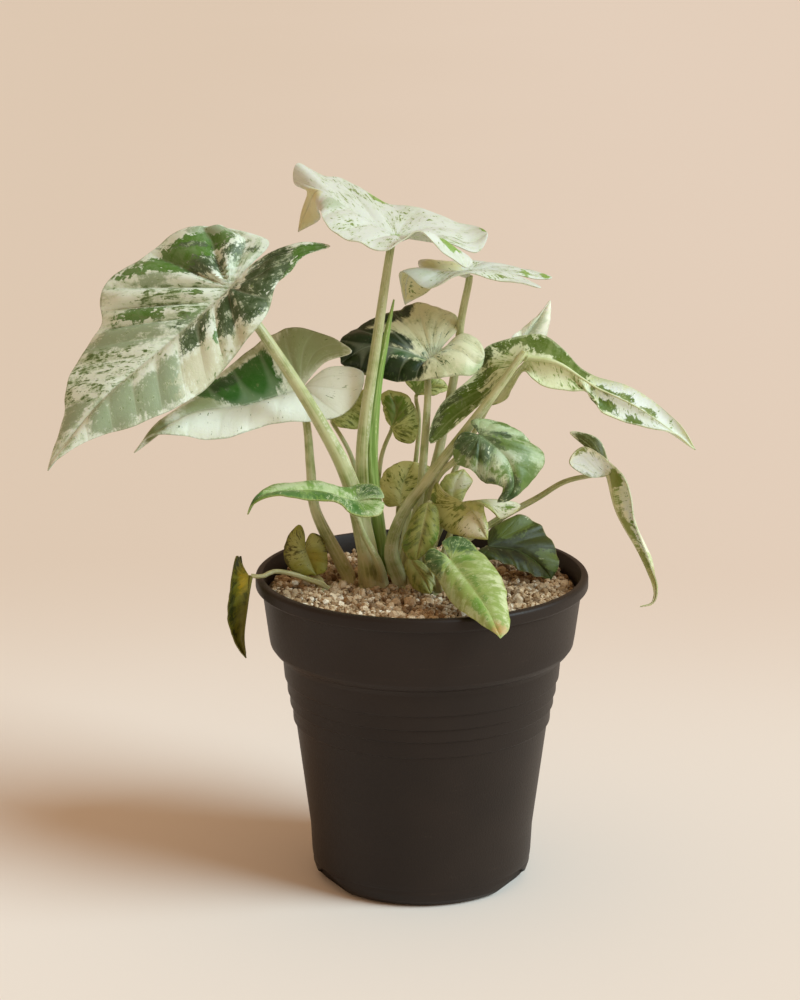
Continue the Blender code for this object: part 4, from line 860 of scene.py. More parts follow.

# %% [markdown]
# ## Splashes of colour
# No two sectors of this plant are alike: cream, grey-green, bright green and near black lie side by side,
# each a splash that starts at a vein. An image would fix one view. Instead each splash is listed
# at a u, a v and two reaches, and each vertex stores how deep it lies inside the nearest splash of each
# kind.

# %% Splashes of each leaf: kind, u, v and how far each reaches
SPLASHES = {
    "big_left": (
        ("green", 0.3, 0.6, 0.06, 0.32), ("green", 0.21, 0.6, 0.06, 0.28), ("grey", 0.12, 0.6, 0.05, 0.35),
        ("dark", 0.32, 0.32, 0.04, 0.12), ("dark", 0.25, 0.26, 0.06, 0.05), ("dark", 0.22, 0.55, 0.01, 0.3),
        ("green", 0.36, 0.9, 0.02, 0.09), ("grey", 0.38, 0.6, 0.03, 0.13),
        ("green", 0.44, 0.22, 0.01, 0.06), ("speck", 0.46, 0.35, 0.06, 0.35),
        ("green", 0.51, 0.58, 0.02, 0.2), ("green", 0.54, 0.1, 0.02, 0.07), ("dark", 0.57, 0.1, 0.02, 0.05),
        ("grey", 0.59, 0.5, 0.05, 0.5), ("speck", 0.72, 0.5, 0.08, 0.5), ("grey", 0.85, 0.6, 0.05, 0.4),
        ("dark", 0.31, -0.5, 0.07, 0.4), ("dark", 0.41, -0.38, 0.06, 0.32),
        ("dark", 0.55, -0.26, 0.05, 0.18), ("green", 0.47, -0.52, 0.03, 0.09),
        ("dark", 0.2, -0.5, 0.07, 0.45), ("green", 0.16, -0.8, 0.03, 0.2), ("green", 0.07, -0.6, 0.06, 0.4),
        ("tan", 0.39, -0.9, 0.05, 0.1), ("grey", 0.67, -0.6, 0.07, 0.38), ("grey", 0.8, -0.5, 0.07, 0.5),
        ("tan", 0.54, -0.7, 0.08, 0.3),
    ),
    # The pale splash on the left half is partly painted light: that half and its back lobe are whitened
    # beyond their own white, as if the lamp fell on them more strongly.
    "low_left": (
        ("green", 0.52, 0.4, 0.14, 0.4), ("green", 0.64, 0.6, 0.06, 0.25), ("grey", 0.5, 0.92, 0.08, 0.08),
        ("grey", 0.2, 0.55, 0.19, 0.5), ("grey", 0.72, 0.2, 0.07, 0.3), ("tan", 0.9, 0, 0.05, 0.9),
        ("dark", 0.6, 0.6, 0.06, 0.14), ("pale", 0.4, -0.5, 0.4, 0.5),
    ),
    "top_white": (
        ("green", 0.41, 0.94, 0.04, 0.07), ("green", 0.16, -0.5, 0.05, 0.22),
        ("green", 0.03, 0.8, 0.02, 0.15), ("green", 0.45, -0.05, 0.02, 0.08),
        ("green", 0.5, -0.6, 0.01, 0.08), ("grey", 0.72, -0.4, 0.04, 0.4), ("tan", 0.9, 0, 0.1, 1),
        ("speck", 0.45, 0, 0.3, 0.95),
    ),
    "top_right": (
        ("tan", 0.62, 0.3, 0.08, 0.5), ("tan", 0.86, 0, 0.14, 1), ("speck", 0.86, 0.2, 0.1, 0.8),
        ("green", 0.06, 0.3, 0.03, 0.35), ("green", 0.18, 0.2, 0.02, 0.2), ("speck", 0.3, -0.1, 0.3, 0.9),
    ),
    # Part of the dark here is painted shade: a dark splash lies along the margin of the half that droops into
    # shadow; the other dark splashes are the leaf's own dark green.
    "centre_dark": (
        ("dark", 0.9, 0, 0.16, 1), ("dark", 0.42, 0.94, 0.06, 0.12), ("dark", 0.66, 0.3, 0.09, 0.24),
        ("dark", 0.66, -0.64, 0.22, 0.4), ("pale", 0.4, -0.12, 0.11, 0.32),
        ("speck", 0.4, -0.12, 0.12, 0.34), ("dark", 0.66, 0.94, 0.28, 0.16), ("dark", 0.86, 0.5, 0.16, 0.6),
        ("green", 0.66, -0.08, 0.1, 0.14), ("grey", 0.52, -0.2, 0.06, 0.14),
        ("grey", 0.12, -0.9, 0.12, 0.12),
    ),
    "big_right": (
        ("green", 0.11, 0.5, 0.13, 0.5), ("dark", 0.08, 0.8, 0.09, 0.2), ("green", 0.3, 0.88, 0.07, 0.14),
        ("dark", 0.27, 0.88, 0.03, 0.12), ("green", 0.45, 0.78, 0.09, 0.28),
        ("green", 0.54, 0.6, 0.07, 0.5), ("dark", 0.55, 0.25, 0.04, 0.14), ("speck", 0.5, -0.5, 0.09, 0.5),
        ("pale", 0.8, 0, 0.17, 1), ("green", 0.67, 0.2, 0.04, 0.34), ("green", 0.73, 0.3, 0.04, 0.28),
        ("green", 0.68, -0.55, 0.04, 0.32), ("green", 0.63, -0.8, 0.04, 0.22),
        ("green", 0.77, -0.85, 0.03, 0.18), ("green", 0.82, 0.25, 0.02, 0.2), ("grey", 0.87, 0, 0.04, 0.4),
        ("speck", 0.27, 0.4, 0.05, 0.25),
    ),
    "small_dark": (
        ("dark", 0.33, 0.32, 0.24, 0.36), ("dark", 0.52, 0.02, 0.08, 0.24), ("pale", 0.47, 0.78, 0.14, 0.2),
        ("pale", 0.64, -0.15, 0.07, 0.4), ("grey", 0.28, -0.5, 0.16, 0.5), ("dark", 0.43, -0.4, 0.04, 0.16),
        ("grey", 0.57, -0.8, 0.08, 0.2), ("green", 0.74, -0.6, 0.07, 0.4), ("dark", 0.9, 0, 0.1, 1),
        ("dark", 0.62, 0.96, 0.1, 0.08), ("green", 0.56, -0.3, 0.05, 0.3),
        ("green", 0.2, -0.75, 0.06, 0.25),
    ),
    "far_right": (
        ("dark", 0.14, -0.5, 0.13, 0.5), ("pale", 0.16, 0.4, 0.14, 0.5), ("green", 0.08, 0.92, 0.08, 0.1),
        ("green", 0.35, 0, 0.06, 0.7), ("pale", 0.58, 0.65, 0.17, 0.35), ("green", 0.58, 0.12, 0.07, 0.22),
        ("green", 0.75, 0.2, 0.06, 0.35), ("tan", 0.88, 0, 0.11, 1), ("speck", 0.58, 0.6, 0.18, 0.4),
    ),
    "front_left": (
        ("dark", 0.14, 0.55, 0.09, 0.4), ("green", 0.24, -0.5, 0.06, 0.5), ("pale", 0.1, -0.8, 0.06, 0.2),
        ("green", 0.44, -0.7, 0.14, 0.3), ("pale", 0.42, 0.3, 0.09, 0.45),
        ("green", 0.7, -0.75, 0.14, 0.25), ("green", 0.93, 0, 0.08, 1), ("speck", 0.25, 0, 0.2, 1),
        ("pale", 0.7, 0.4, 0.1, 0.3),
    ),
    "pot_left": (
        ("grey", 0.22, -0.5, 0.18, 0.4), ("tan", 0.6, -0.4, 0.14, 0.4), ("grey", 0.4, 0.45, 0.28, 0.4),
        ("dark", 0.3, 0.97, 0.25, 0.06), ("dark", 0.3, -0.97, 0.25, 0.06), ("speck", 0.3, 0.5, 0.28, 0.5),
    ),
    "hanging_left": (
        ("dark", 0.5, -0.78, 0.3, 0.22), ("tan", 0.28, -0.2, 0.09, 0.2), ("dark", 0.48, 0.1, 0.05, 0.25),
        ("dark", 0.05, 0, 0.05, 1),
    ),
    "front_right": (
        ("dark", 0.11, 0.5, 0.11, 0.48), ("dark", 0.11, -0.5, 0.1, 0.48), ("green", 0.28, -0.3, 0.04, 0.28),
        ("green", 0.46, 0.42, 0.26, 0.05), ("grey", 0.42, 0.82, 0.16, 0.16),
        ("green", 0.76, 0.3, 0.08, 0.26), ("pale", 0.72, -0.86, 0.16, 0.12), ("tan", 0.95, 0, 0.04, 1),
        ("green", 0.6, -0.15, 0.1, 0.08),
    ),
    "pot_right": (
        ("dark", 0.5, 0.3, 0.2, 0.45), ("green", 0.28, -0.6, 0.16, 0.35), ("green", 0.8, -0.65, 0.12, 0.35),
    ),
    "cream_front": (
        ("green", 0.2, 0.8, 0.09, 0.2), ("green", 0.5, 0.1, 0.07, 0.16), ("pale", 0.8, 0.1, 0.16, 0.8),
        ("speck", 0.4, 0.7, 0.25, 0.35), ("pale", 0.12, -0.5, 0.18, 0.5), ("green", 0.1, -0.5, 0.03, 0.1),
    ),
    "cream_low": (
        ("green", 0.5, -0.8, 0.16, 0.2), ("green", 0.62, 0.75, 0.2, 0.22), ("speck", 0.45, 0, 0.3, 0.8),
    ),
    "cream_up": (("pale", 0.7, 0.3, 0.2, 0.5),),
    "cream_curl": (("speck", 0.5, 0, 0.4, 0.8),),
    "back_speckled": (("green", 0.66, 0, 0.25, 0.8), ("speck", 0.45, 0, 0.3, 0.9)),
    "back_cream": (("speck", 0.45, 0, 0.3, 0.9),),
    "back_round": (("speck", 0.55, 0, 0.3, 0.9),),
    "back_small": (("green", 0.3, -0.3, 0.18, 0.25), ("speck", 0.6, 0, 0.25, 0.7)),
    "back_pale": (("grey", 0.6, 0, 0.15, 0.5),),
}
KINDS = ("grey", "pale", "green", "dark", "tan", "speck")
print("splashes:", sum(len(splashes) for splashes in SPLASHES.values()))

# %% [markdown]
# ## From sheet to blade
# Two grids, one for each half, are put on the surface, joined and merged along the midrib, and Solidify
# gives them a leaf's thickness with the underside in its own material. A tapering rib under the midrib
# carries on from the stalk, as on the real leaf.

# %% How deep a place lies in a splash
DEEPEST = 8.0


def splash_depth(leaf_name, kind, u, v, length, width):
    """How deep each vertex lies in a splash of this kind, in millimetres, negative outside."""
    depth = np.full(u.shape, -DEEPEST)
    for splash_kind, u_at, v_at, u_reach, v_reach in SPLASHES.get(leaf_name, ()):
        if splash_kind == kind:
            away = ((np.abs(u - u_at) / u_reach) ** 3 + (np.abs(v - v_at) / v_reach) ** 3) ** (1 / 3)
            depth = np.maximum(depth, (1 - away) * min(u_reach * length, v_reach * width))
    return np.clip(depth, -DEEPEST, DEEPEST)


print("a place more than", DEEPEST, "mm outside a splash is simply outside")

# %% The rib under a blade
RIB_SIDES = 8
RIB_END = 0.2
RIB_RINGS = 24
RIB_REACH = 0.95
RIB_SUNK = 0.12


def make_rib(leaf_name, leaf):
    """The rib under the midrib, from the join with the stalk to the tip."""
    u = np.linspace(join_share(leaf), RIB_REACH, RIB_RINGS)
    right, left = (half_blade(leaf, half, u[:, None], np.array([[0.0, 0.05]])) for half in (0, 1))
    ahead = np.gradient(right[:, 0], axis=0)
    up = unit(np.cross(right[:, 1] - right[:, 0], ahead) - np.cross(left[:, 1] - left[:, 0], ahead))
    up[-1] = up[-2]
    radii = RIB_END + (leaf.radii[1] - RIB_END) * np.linspace(1, 0, RIB_RINGS) ** 3
    under = radii + MIDRIB_GROOVE * np.sin(math.pi * np.clip(u, 0, 1)) ** RELIEF_ENDS - RIB_SUNK
    rib = make_tube(f"rib_{leaf_name}", right[:, 0] - under[:, None] * up, radii, RIB_SIDES)
    merge(rib, close=True)
    halfway = np.full(len(rib.data.vertices), 0.5)
    set_uv(rib, "leaf", halfway, halfway)
    for kind in KINDS:
        set_attribute(rib, kind, -DEEPEST)
    for number in (0, 1):
        rib.data.materials.append(None)
    rib.data.polygons.foreach_set("material_index", np.ones(len(rib.data.polygons), int))
    return rib


print("a rib has", RIB_RINGS, "rings and ends", RIB_END, "mm thick")

# %% Make a blade
CELL = 0.9
CELL_ACROSS = 0.72
FEWEST_ROWS = 24
FEWEST_COLUMNS = 10
BLADE_THICKNESS = 0.45


def blade_points(leaf, half, puffs, u, v, width, rng):
    """Surface points without the relief, the normals, and the relief, as tables of rows and columns."""
    places = half_blade(leaf, half, u, v * edge_reach(u, width, rng))
    normals = unit(np.cross(np.gradient(places, axis=1), np.gradient(places, axis=0)))
    normals[0], normals[-1] = normals[1], normals[-2]
    if half == 1:
        normals = -normals
    return places, normals, relief(leaf, puffs, u, v, width, rng)


def make_blade(leaf_name, leaf, seed):
    """One blade with its rib, its splashes stored on it, ready for its finish."""
    length, width = blade_size(leaf)
    rows = max(FEWEST_ROWS, round(length / CELL))
    columns = max(FEWEST_COLUMNS, round(width / CELL_ACROSS))
    u, v = np.meshgrid(np.linspace(0, 1, rows + 1), np.linspace(0, 1, columns + 1), indexing="ij")
    sides = []
    for half, puffs in enumerate(PUFFS.get(leaf_name, PLAIN_PUFFS)):
        sides.append(blade_points(leaf, half, puffs, u, v, width, np.random.default_rng(seed + half)))
    middle = unit(sides[0][1][:, 0] + sides[1][1][:, 0])
    joined = u[:, 0] >= join_share(leaf)
    halves = []
    for half, (places, normals, height) in enumerate(sides):
        normals[joined, 0] = middle[joined]
        sheet, across, along = add_grid(f"{leaf_name}_{half}", columns, rows)
        out = across if half == 0 else 1 - across
        at = (np.rint(along * rows).astype(int), np.rint(out * columns).astype(int))
        set_points(sheet, (places + height[..., None] * normals)[at])
        signed = out if half == 0 else -out
        set_uv(sheet, "leaf", along, 0.5 + signed / 2)
        for kind in KINDS:
            set_attribute(sheet, kind, splash_depth(leaf_name, kind, along, signed, length, width))
        halves.append(sheet)
    blade = join(f"blade_{leaf_name}", halves)
    merge(blade)
    thick = blade.modifiers.new("Thickness", "SOLIDIFY")
    thick.thickness = BLADE_THICKNESS * MM
    thick.offset = 0
    thick.material_offset = 1
    for number in (0, 1):
        blade.data.materials.append(None)
    apply_all(blade)
    rib = make_rib(leaf_name, leaf)
    blade = join(blade.name, [blade, rib])
    smooth(blade)
    return blade


print("cells of the blades are about", CELL, "mm")

# %% [markdown]
# ## The leaf finish
# A leaf is a thin, slightly waxy film: soft highlights, a little light coming through, and the green or
# white in the tissue itself. The ground colour is laid first, then each kind of splash in turn with a
# ragged outline, stretched the way the side veins run. Fine flecks, the veins and a thin dark edge come
# last. The underside is paler and duller. Every leaf gets its own copy, because the veins depend on its
# size.

# %% Colours of the kinds of leaf
# Each colour is red, green and blue, from 0 to 255. flecks says from where on the noise flecks show, chips
# how much of the ground shows through the splashes, and ragged how far noise moves their outlines.
WHITE = dict(
    ground=(208, 212, 200), second=(197, 203, 182), fleck=(146, 158, 96), grey=(172, 186, 156),
    pale=(216, 219, 208), green=(122, 156, 56), dark=(84, 108, 46), tan=(214, 210, 158),
    speck=(116, 132, 66), vein=(204, 208, 186), edge=(196, 200, 168), under=(214, 210, 162), flecks=0.15,
    chips=0.5, ragged=0.6,
)
MIXED = dict(
    ground=(215, 223, 205), second=(174, 187, 156), fleck=(104, 124, 70), grey=(134, 150, 116),
    pale=(216, 222, 204), green=(70, 110, 26), dark=(48, 70, 32), tan=(196, 194, 164),
    speck=(84, 104, 54), vein=(198, 206, 178), edge=(128, 130, 94), under=(196, 192, 148), flecks=0.11,
    chips=0.65, ragged=0.95,
)
GREEN = dict(
    ground=(140, 160, 86), second=(184, 196, 146), fleck=(208, 216, 178), grey=(164, 184, 136),
    pale=(202, 212, 164), green=(98, 138, 44), dark=(46, 82, 30), tan=(182, 142, 84), speck=(78, 114, 44),
    vein=(176, 194, 120), edge=(158, 160, 88), under=(176, 186, 122), flecks=0.125, chips=0.6, ragged=0.7,
)
DARK = dict(
    ground=(100, 124, 60), second=(200, 208, 172), fleck=(204, 212, 178), grey=(158, 176, 132),
    pale=(176, 190, 160), green=(84, 110, 44), dark=(46, 70, 26), tan=(156, 128, 42),
    speck=(190, 202, 162), vein=(140, 164, 110), edge=(110, 122, 60), under=(132, 146, 84), flecks=0.13,
    chips=0.3, ragged=0.6,
)
CREAM = dict(
    ground=(188, 193, 124), second=(150, 158, 80), fleck=(112, 124, 50), grey=(166, 172, 106),
    pale=(220, 218, 192), green=(94, 122, 34), dark=(66, 80, 30), tan=(170, 156, 90), speck=(90, 100, 38),
    vein=(196, 198, 140), edge=(144, 136, 76), under=(174, 174, 108), flecks=0.1, chips=0.5, ragged=0.6,
)
OLIVE = dict(
    DARK, ground=(142, 140, 56), second=(112, 112, 38), fleck=(88, 84, 30), dark=(56, 54, 18),
    tan=(150, 138, 44), vein=(156, 154, 78), edge=(98, 92, 36), speck=(70, 64, 22), under=(136, 132, 58),
    grey=(174, 172, 104), flecks=0.11,
)
BRIGHT = dict(
    WHITE, ground=(214, 220, 182), second=(188, 198, 148), fleck=(122, 144, 62), green=(76, 100, 12),
    dark=(46, 62, 6), grey=(170, 188, 136), pale=(220, 227, 220), speck=(100, 128, 56),
    vein=(196, 204, 144), edge=(184, 192, 152), tan=(126, 126, 40), under=(188, 190, 146), flecks=0.12,
    chips=0.45,
)
LOOKS = {
    "top_white": WHITE,
    "top_right": WHITE,
    "back_pale": dict(WHITE, ground=(238, 240, 220), second=(222, 229, 202), flecks=0.2),
    "big_left": MIXED,
    # Partly painted light: ground and pale are whiter than the tissue, standing for strong light on this
    # leaf's left half.
    "low_left": dict(
        MIXED, grey=(138, 149, 98), green=(46, 98, 26), dark=(24, 66, 16), ground=(226, 232, 214),
        second=(202, 208, 178), pale=(232, 238, 222), tan=(112, 118, 50), chips=0.1, flecks=0.135,
        ragged=0.35,
    ),
    # Its dark tone is near black: the leaf's own dark green, deepened by painted shade for the drooping half.
    "centre_dark": dict(
        MIXED, ground=(210, 210, 174), second=(184, 186, 146), dark=(22, 42, 6), grey=(172, 188, 140),
        green=(40, 76, 26), fleck=(60, 88, 40), speck=(50, 76, 34), pale=(206, 218, 190), chips=0.05,
        flecks=0.12, ragged=0.35,
    ),
    "big_right": BRIGHT,
    "far_right": dict(
        BRIGHT, dark=(78, 84, 30), tan=(160, 160, 84), green=(122, 132, 54), ground=(228, 228, 198),
        under=(226, 227, 204), chips=0.2, ragged=0.4,
    ),
    "front_left": dict(
        GREEN, ground=(108, 142, 66), second=(182, 198, 148), green=(58, 102, 34), pale=(178, 192, 148),
    ),
    "front_right": GREEN,
    "small_dark": DARK,
    "pot_right": dict(
        DARK, ground=(56, 68, 18), second=(46, 56, 16), dark=(32, 40, 10), green=(92, 112, 46),
        vein=(90, 106, 54), edge=(112, 104, 48), chips=0.1, flecks=0.2,
    ),
    "pot_left": OLIVE,
    "hanging_left": dict(
        OLIVE, ground=(96, 92, 20), second=(70, 66, 16), dark=(44, 46, 12), tan=(176, 144, 26),
    ),
    "cream_low": dict(CREAM, ground=(134, 142, 68), second=(104, 116, 44), fleck=(76, 88, 30)),
    "back_round": dict(CREAM, ground=(208, 208, 142), second=(176, 178, 104), flecks=0.12),
    "cream_curl": dict(CREAM, ground=(150, 154, 84), second=(120, 128, 56)),
}
SLOT_LEAVES = {
    "leaf_white": ("top_white", "top_right", "back_pale"),
    "leaf_mixed": ("big_left", "low_left", "centre_dark", "big_right", "far_right"),
    "leaf_green": ("front_left", "front_right"),
    "leaf_dark": ("small_dark", "pot_left", "hanging_left", "pot_right"),
}


def slot_of(leaf_name):
    """The slot name for this leaf; the small cream ones have the last."""
    return next((slot for slot, names in SLOT_LEAVES.items() if leaf_name in names), "leaf_cream")


print("leaves with a look of their own:", len(LOOKS))

# %% The leaf finish
SPLASH_RULES = {
    "grey": (1.6, 0.07, 0.9),
    "pale": (1.4, 0.2, 0.95),
    "tan": (1.8, 0.14, 0.9),
    "green": (0.5, 0.14, 1.0),
    "dark": (0.7, 0.08, 1.0),
}


def leaf_finish(leaf_name, leaf, underside):
    """The material of one side of one blade.

    SPLASH_RULES gives each kind of splash how soft its outline is in millimetres, from where on the noise
    chips it through to the ground, and how far it covers the ground.
    """
    look = LOOKS.get(leaf_name, CREAM)
    tones = {name: tone(*colour) for name, colour in look.items() if isinstance(colour, tuple)}
    length, width = blade_size(leaf)
    share = join_share(leaf)
    side = "under" if underside else "upper"
    material, shader, shade, place = new_finish(f"{leaf_name}_{side}")
    u = shade.leaf_map()
    signed = (u[1] - 0.5) * 2
    v = abs(signed)
    forward = ((u - share) / (1 - share)).at_least(0)
    behind = (1 - u / share).at_least(0)
    fan = shade.math("ARCTAN2", v + 0.001, behind) * (2 / math.pi)
    phase = forward * vein_count(leaf) + fan * LOBE_VEINS
    out = (v * v + behind * behind) ** 0.5 * width
    spacing = length * (1 - share) / vein_count(leaf)
    half = signed.step(-0.001, 0.001) * 7

    drift = shade.noise(place, 95, 4, 0.6, 0.6)
    crumbs = shade.noise(place, 360, 5, 0.68, 0.5)
    streaks = shade.noise(shade.vector(phase * (spacing / 2.4), out / 7, half), 1, 4, 0.65, 0.4)
    marks = shade.noise(shade.vector(phase * (spacing / 0.9), out / 2.4, half + 3), 1, 3, 0.6, 0.5)
    fine = shade.noise(place, 900, 3, 0.6)
    cells = shade.noise(place, 2400, 2)
    ragged = (drift * 8 + streaks * 7 + crumbs * 10 + marks * 5) * look["ragged"]

    wash = (drift * 0.8 + streaks * 0.8 + crumbs * 0.7).step(-0.09, 0.18)
    colour = shade.blend(tones["ground"], tones["second"], wash)
    tint = (crumbs + drift * 0.7 + streaks * 0.4).step(-0.2, 0.25) * (0.35 * look["chips"])
    chip = crumbs * 0.8 + marks * 0.6 + streaks * 0.4
    for kind, (soft, chipped, cover) in SPLASH_RULES.items():
        inside = (shade.stored(kind) + ragged).step(-soft, soft) * cover
        shaded = shade.blend(tones[kind], tones["second"], tint)
        chips = chip.step(chipped, chipped + 0.04) * look["chips"]
        chip_colour = shade.blend(tones["second"], tones["ground"], chip.step(chipped + 0.03, chipped + 0.09))
        colour = shade.blend(colour, shade.blend(shaded, chip_colour, chips), inside)
    near_speck = (shade.stored("speck") + ragged).step(-3, 2)
    flecks = marks * 0.7 + crumbs * 0.4 + streaks * 0.3 + drift * 0.2 + near_speck * 0.08
    colour = shade.blend(colour, tones["fleck"], flecks.step(look["flecks"], look["flecks"] + 0.03) * 0.85)
    colour = shade.blend(colour, tones["speck"], flecks.step(0.17, 0.2))

    off_vein = phase.off_whole() * (out * (math.pi / 2 / LOBE_VEINS)).at_most(spacing)
    vein_line = off_vein.step(0.34, 0.05) * (1 - v * 0.5)
    rib_line = (out + behind * 50).step(0.62, 0.25)
    lines = rib_line.at_least(vein_line * 0.5)
    colour = shade.blend(colour, tones["vein"], lines * 0.4)
    edge = ((1 - v) * width + fine * 1.2 - drift * 1.5).step(0.5, 0.15)
    colour = shade.blend(colour, tones["edge"], edge * 0.5)
    if underside:
        colour = shade.blend(colour, tones["under"], 0.5)

    height = cells * 0.05 + fine * 0.12 + crumbs * 0.3 + marks * 0.1 + lines * (0.3 if underside else -0.22)
    roughness = 0.55 + fine * 0.2 if underside else 0.46 + fine * 0.25 + drift * 0.15
    feed(shader, Base_Color=colour, Roughness=roughness, Normal=shade.bump(height, 0.9, 0.6))
    feed(shader, Specular_IOR_Level=0.35)
    feed(shader, Subsurface_Weight=0.15, Subsurface_Scale=0.0015, Subsurface_Radius=(0.8, 1.0, 0.5))
    return material


print("kinds of splash with an outline of their own:", len(SPLASH_RULES))

# %% Dress every leaf
SEEDS_APART = 10

for number, (leaf_name, leaf) in enumerate(LEAVES.items()):
    blade = make_blade(leaf_name, leaf, SEEDS_APART * number)
    finishes = [leaf_finish(leaf_name, leaf, underside) for underside in (False, True)]
    for slot_number, finish in enumerate(finishes):
        blade.data.materials[slot_number] = finish
    hand_over(blade, f"leaf_{leaf_name}", slot_of(leaf_name))
    print(blade.name, len(blade.data.polygons), "faces")

# %% [markdown]
# ## The stalks
# Each leaf stands on a fleshy stalk that leaves a crown in the gravel. Low down the stalk is a sheath: a
# broad channel with a thin wing on each side that once wrapped the next leaf. Higher up it is round and
# thin. Each one is a tube along the same line as in the frame, and a table of factors draws the wings and
# the channel.

# %% The shape of a stalk
STALK_BOTTOM = 104.0
STALK_CLEAR = 5.0
CROWN_TOP = 109.4
CROWN_RINGS = ((103.0, 0.9), (106.5, 1.0), (108.0, 0.94), (109.0, 0.75), (CROWN_TOP, 0.3))
STALK_SIDES = 24
STALK_RING_GAP = 2.2
SHEATH_END = 0.46
SHEATH_WING = 0.72
SHEATH_GROOVE = 0.42
WING_ANGLE = 0.95
WING_WIDTH = 0.26
CHANNEL_WIDTH = 0.6
TOP_CHANNEL = 0.08
PLANT_MIDDLE = (-12.0, 2.0)
# The middle of each crown, x and y, and its radius.
CROWNS = {
    "left": (-27.5, 4.5, 3.2),
    "centre": (-17.5, 0.5, 6.2),
    "right": (-4.5, 2.0, 5.8),
    "front": (6.0, -8.0, 4.8),
    "back": (-11.0, 13.5, 3.8),
    "side": (-35.2, -2.6, 3.2),
}


def sheath_factors(leaf, share):
    """How far out each side of each ring goes: wings and a channel at the bottom, round above."""
    inward = np.array(PLANT_MIDDLE) - np.array(leaf.stalk[0][:2])
    facing = math.atan2(-inward[1], -inward[0])
    angles = 2 * math.pi * np.arange(STALK_SIDES + 1) / STALK_SIDES - facing
    angles = (angles + math.pi) % (2 * math.pi) - math.pi
    low = np.clip(1 - share / SHEATH_END, 0, 1)[:, None] ** 0.45
    wings = np.exp(-(((np.abs(angles) - WING_ANGLE) / WING_WIDTH) ** 2))
    groove = np.exp(-((angles / CHANNEL_WIDTH) ** 2))
    return 1 + low * (SHEATH_WING * wings - SHEATH_GROOVE * groove) - TOP_CHANNEL * groove


def make_stalk(leaf_name, leaf):
    """One stalk, from inside its crown to the blade's join."""
    up = join_up(leaf)
    join_point = np.array(leaf.midrib[0], float)
    end = leaf.radii[1] + MIDRIB_GROOVE * 0.5
    x, y, z = leaf.stalk[0]
    low = ((x, y, STALK_BOTTOM), (x, y, CROWN_TOP))
    route = (*low, *leaf.stalk[1:], join_point - up * STALK_CLEAR, join_point - up * end)
    line, shares = smooth_through(route)
    rings = max(8, round(line_length(line) / STALK_RING_GAP))
    share = np.linspace(0, 1, rings)
    radii = leaf.radii[0] + (leaf.radii[1] - leaf.radii[0]) * share
    factors = sheath_factors(leaf, share)
    stalk = make_tube(f"stalk_{leaf_name}", point_on(line, shares, share), radii, STALK_SIDES, factors)
    merge(stalk, close=True)
    return stalk


print("a sheath reaches", round(100 * SHEATH_END), "percent of the way up its stalk")


# %% The crown that stalks share
def make_crown(name, x, y, radius):
    """The low fleshy bulge that the stalks of one crown share."""
    points = [(x, y, height) for height, share in CROWN_RINGS]
    radii = [radius * share for height, share in CROWN_RINGS]
    crown = make_tube(f"crown_{name}", points, radii, STALK_SIDES)
    merge(crown, close=True)
    return crown


print("crowns:", len(CROWNS))

# %% [markdown]
# ## The skin of the stalks
# A stalk is smooth and a little waxy, pale green with fine streaks along it, and buff near the gravel.
# An image wrapped round it would stretch at the wings. Noise on the tube's own map, dense around and drawn
# out along it, gives streaks that follow every bend.


# %% Finish the stalks and hand them over
def stalk_finish():
    """Pale, slightly striped green, buff at the gravel."""
    material, shader, shade, place = new_finish("stalk")
    share = shade.leaf_map()
    stripes = shade.noise(shade.vector(share[1] * 26, share * 3), 1, 3)
    blotches = shade.noise(place, 130, 3)
    fine = shade.noise(place, 900, 3)
    colour = shade.blend(tone(190, 193, 146), tone(144, 156, 92), (stripes + blotches).step(-0.12, 0.24))
    colour = shade.blend(colour, tone(212, 210, 180), (stripes + fine * 0.4).step(0.08, 0.2) * 0.7)
    height = shade.node("SeparateXYZ", {}, {0: place})[2]
    low = (height + blotches * 0.02).step(0.128, 0.108)
    colour = shade.blend(colour, tone(180, 168, 122), low * 0.6)
    colour = shade.blend(colour, tone(112, 118, 60), (blotches + stripes * 0.5).step(0.15, 0.24) * 0.6)
    bump = shade.bump(stripes + fine * 0.3, 0.6, 0.3)
    feed(shader, Base_Color=colour, Roughness=0.42 + fine * 0.2, Normal=bump)
    feed(shader, Subsurface_Weight=0.25, Subsurface_Scale=0.002, Subsurface_Radius=(1.0, 1.0, 0.5))
    return material


stalk_material = stalk_finish()
for crown_name, crown_place in CROWNS.items():
    parts = [make_crown(crown_name, *crown_place)]
    for leaf_name, leaf in LEAVES.items():
        if leaf.stems == crown_name:
            parts.append(make_stalk(leaf_name, leaf))
    stalks = join(f"stalks_{crown_name}", parts)
    smooth(stalks, 60)
    hand_over(stalks, f"stems_{crown_name}", "stems", stalk_material)
    print(stalks.name, len(parts) - 1, "stalks")

# %% [markdown]
# ## The rolled new leaf
# A new leaf comes up rolled tight, like a paper scroll that ends in a point. It is one tapering tube whose
# radius jumps once around it: that step is the free edge of the roll, and it winds slowly up the tube.

# %% Rolled leaf
ROLLED_LINE = (
    (-14.3, 2.7, 110.2), (-15, 5.5, 125), (-18, 7.5, 147), (-18, 6.5, 162), (-16, 4, 182), (-13, 3.2, 198),
    (-10, 3, 213),
)
ROLLED_RADII = (1.8, 2.6, 2.9, 2.7, 2.0, 1.3, 0.3)
ROLLED_SIDES = 40
ROLLED_RINGS = 90
ROLL_STEP = 0.22
ROLL_TURNS = 0.45
ROLL_START = 0.55

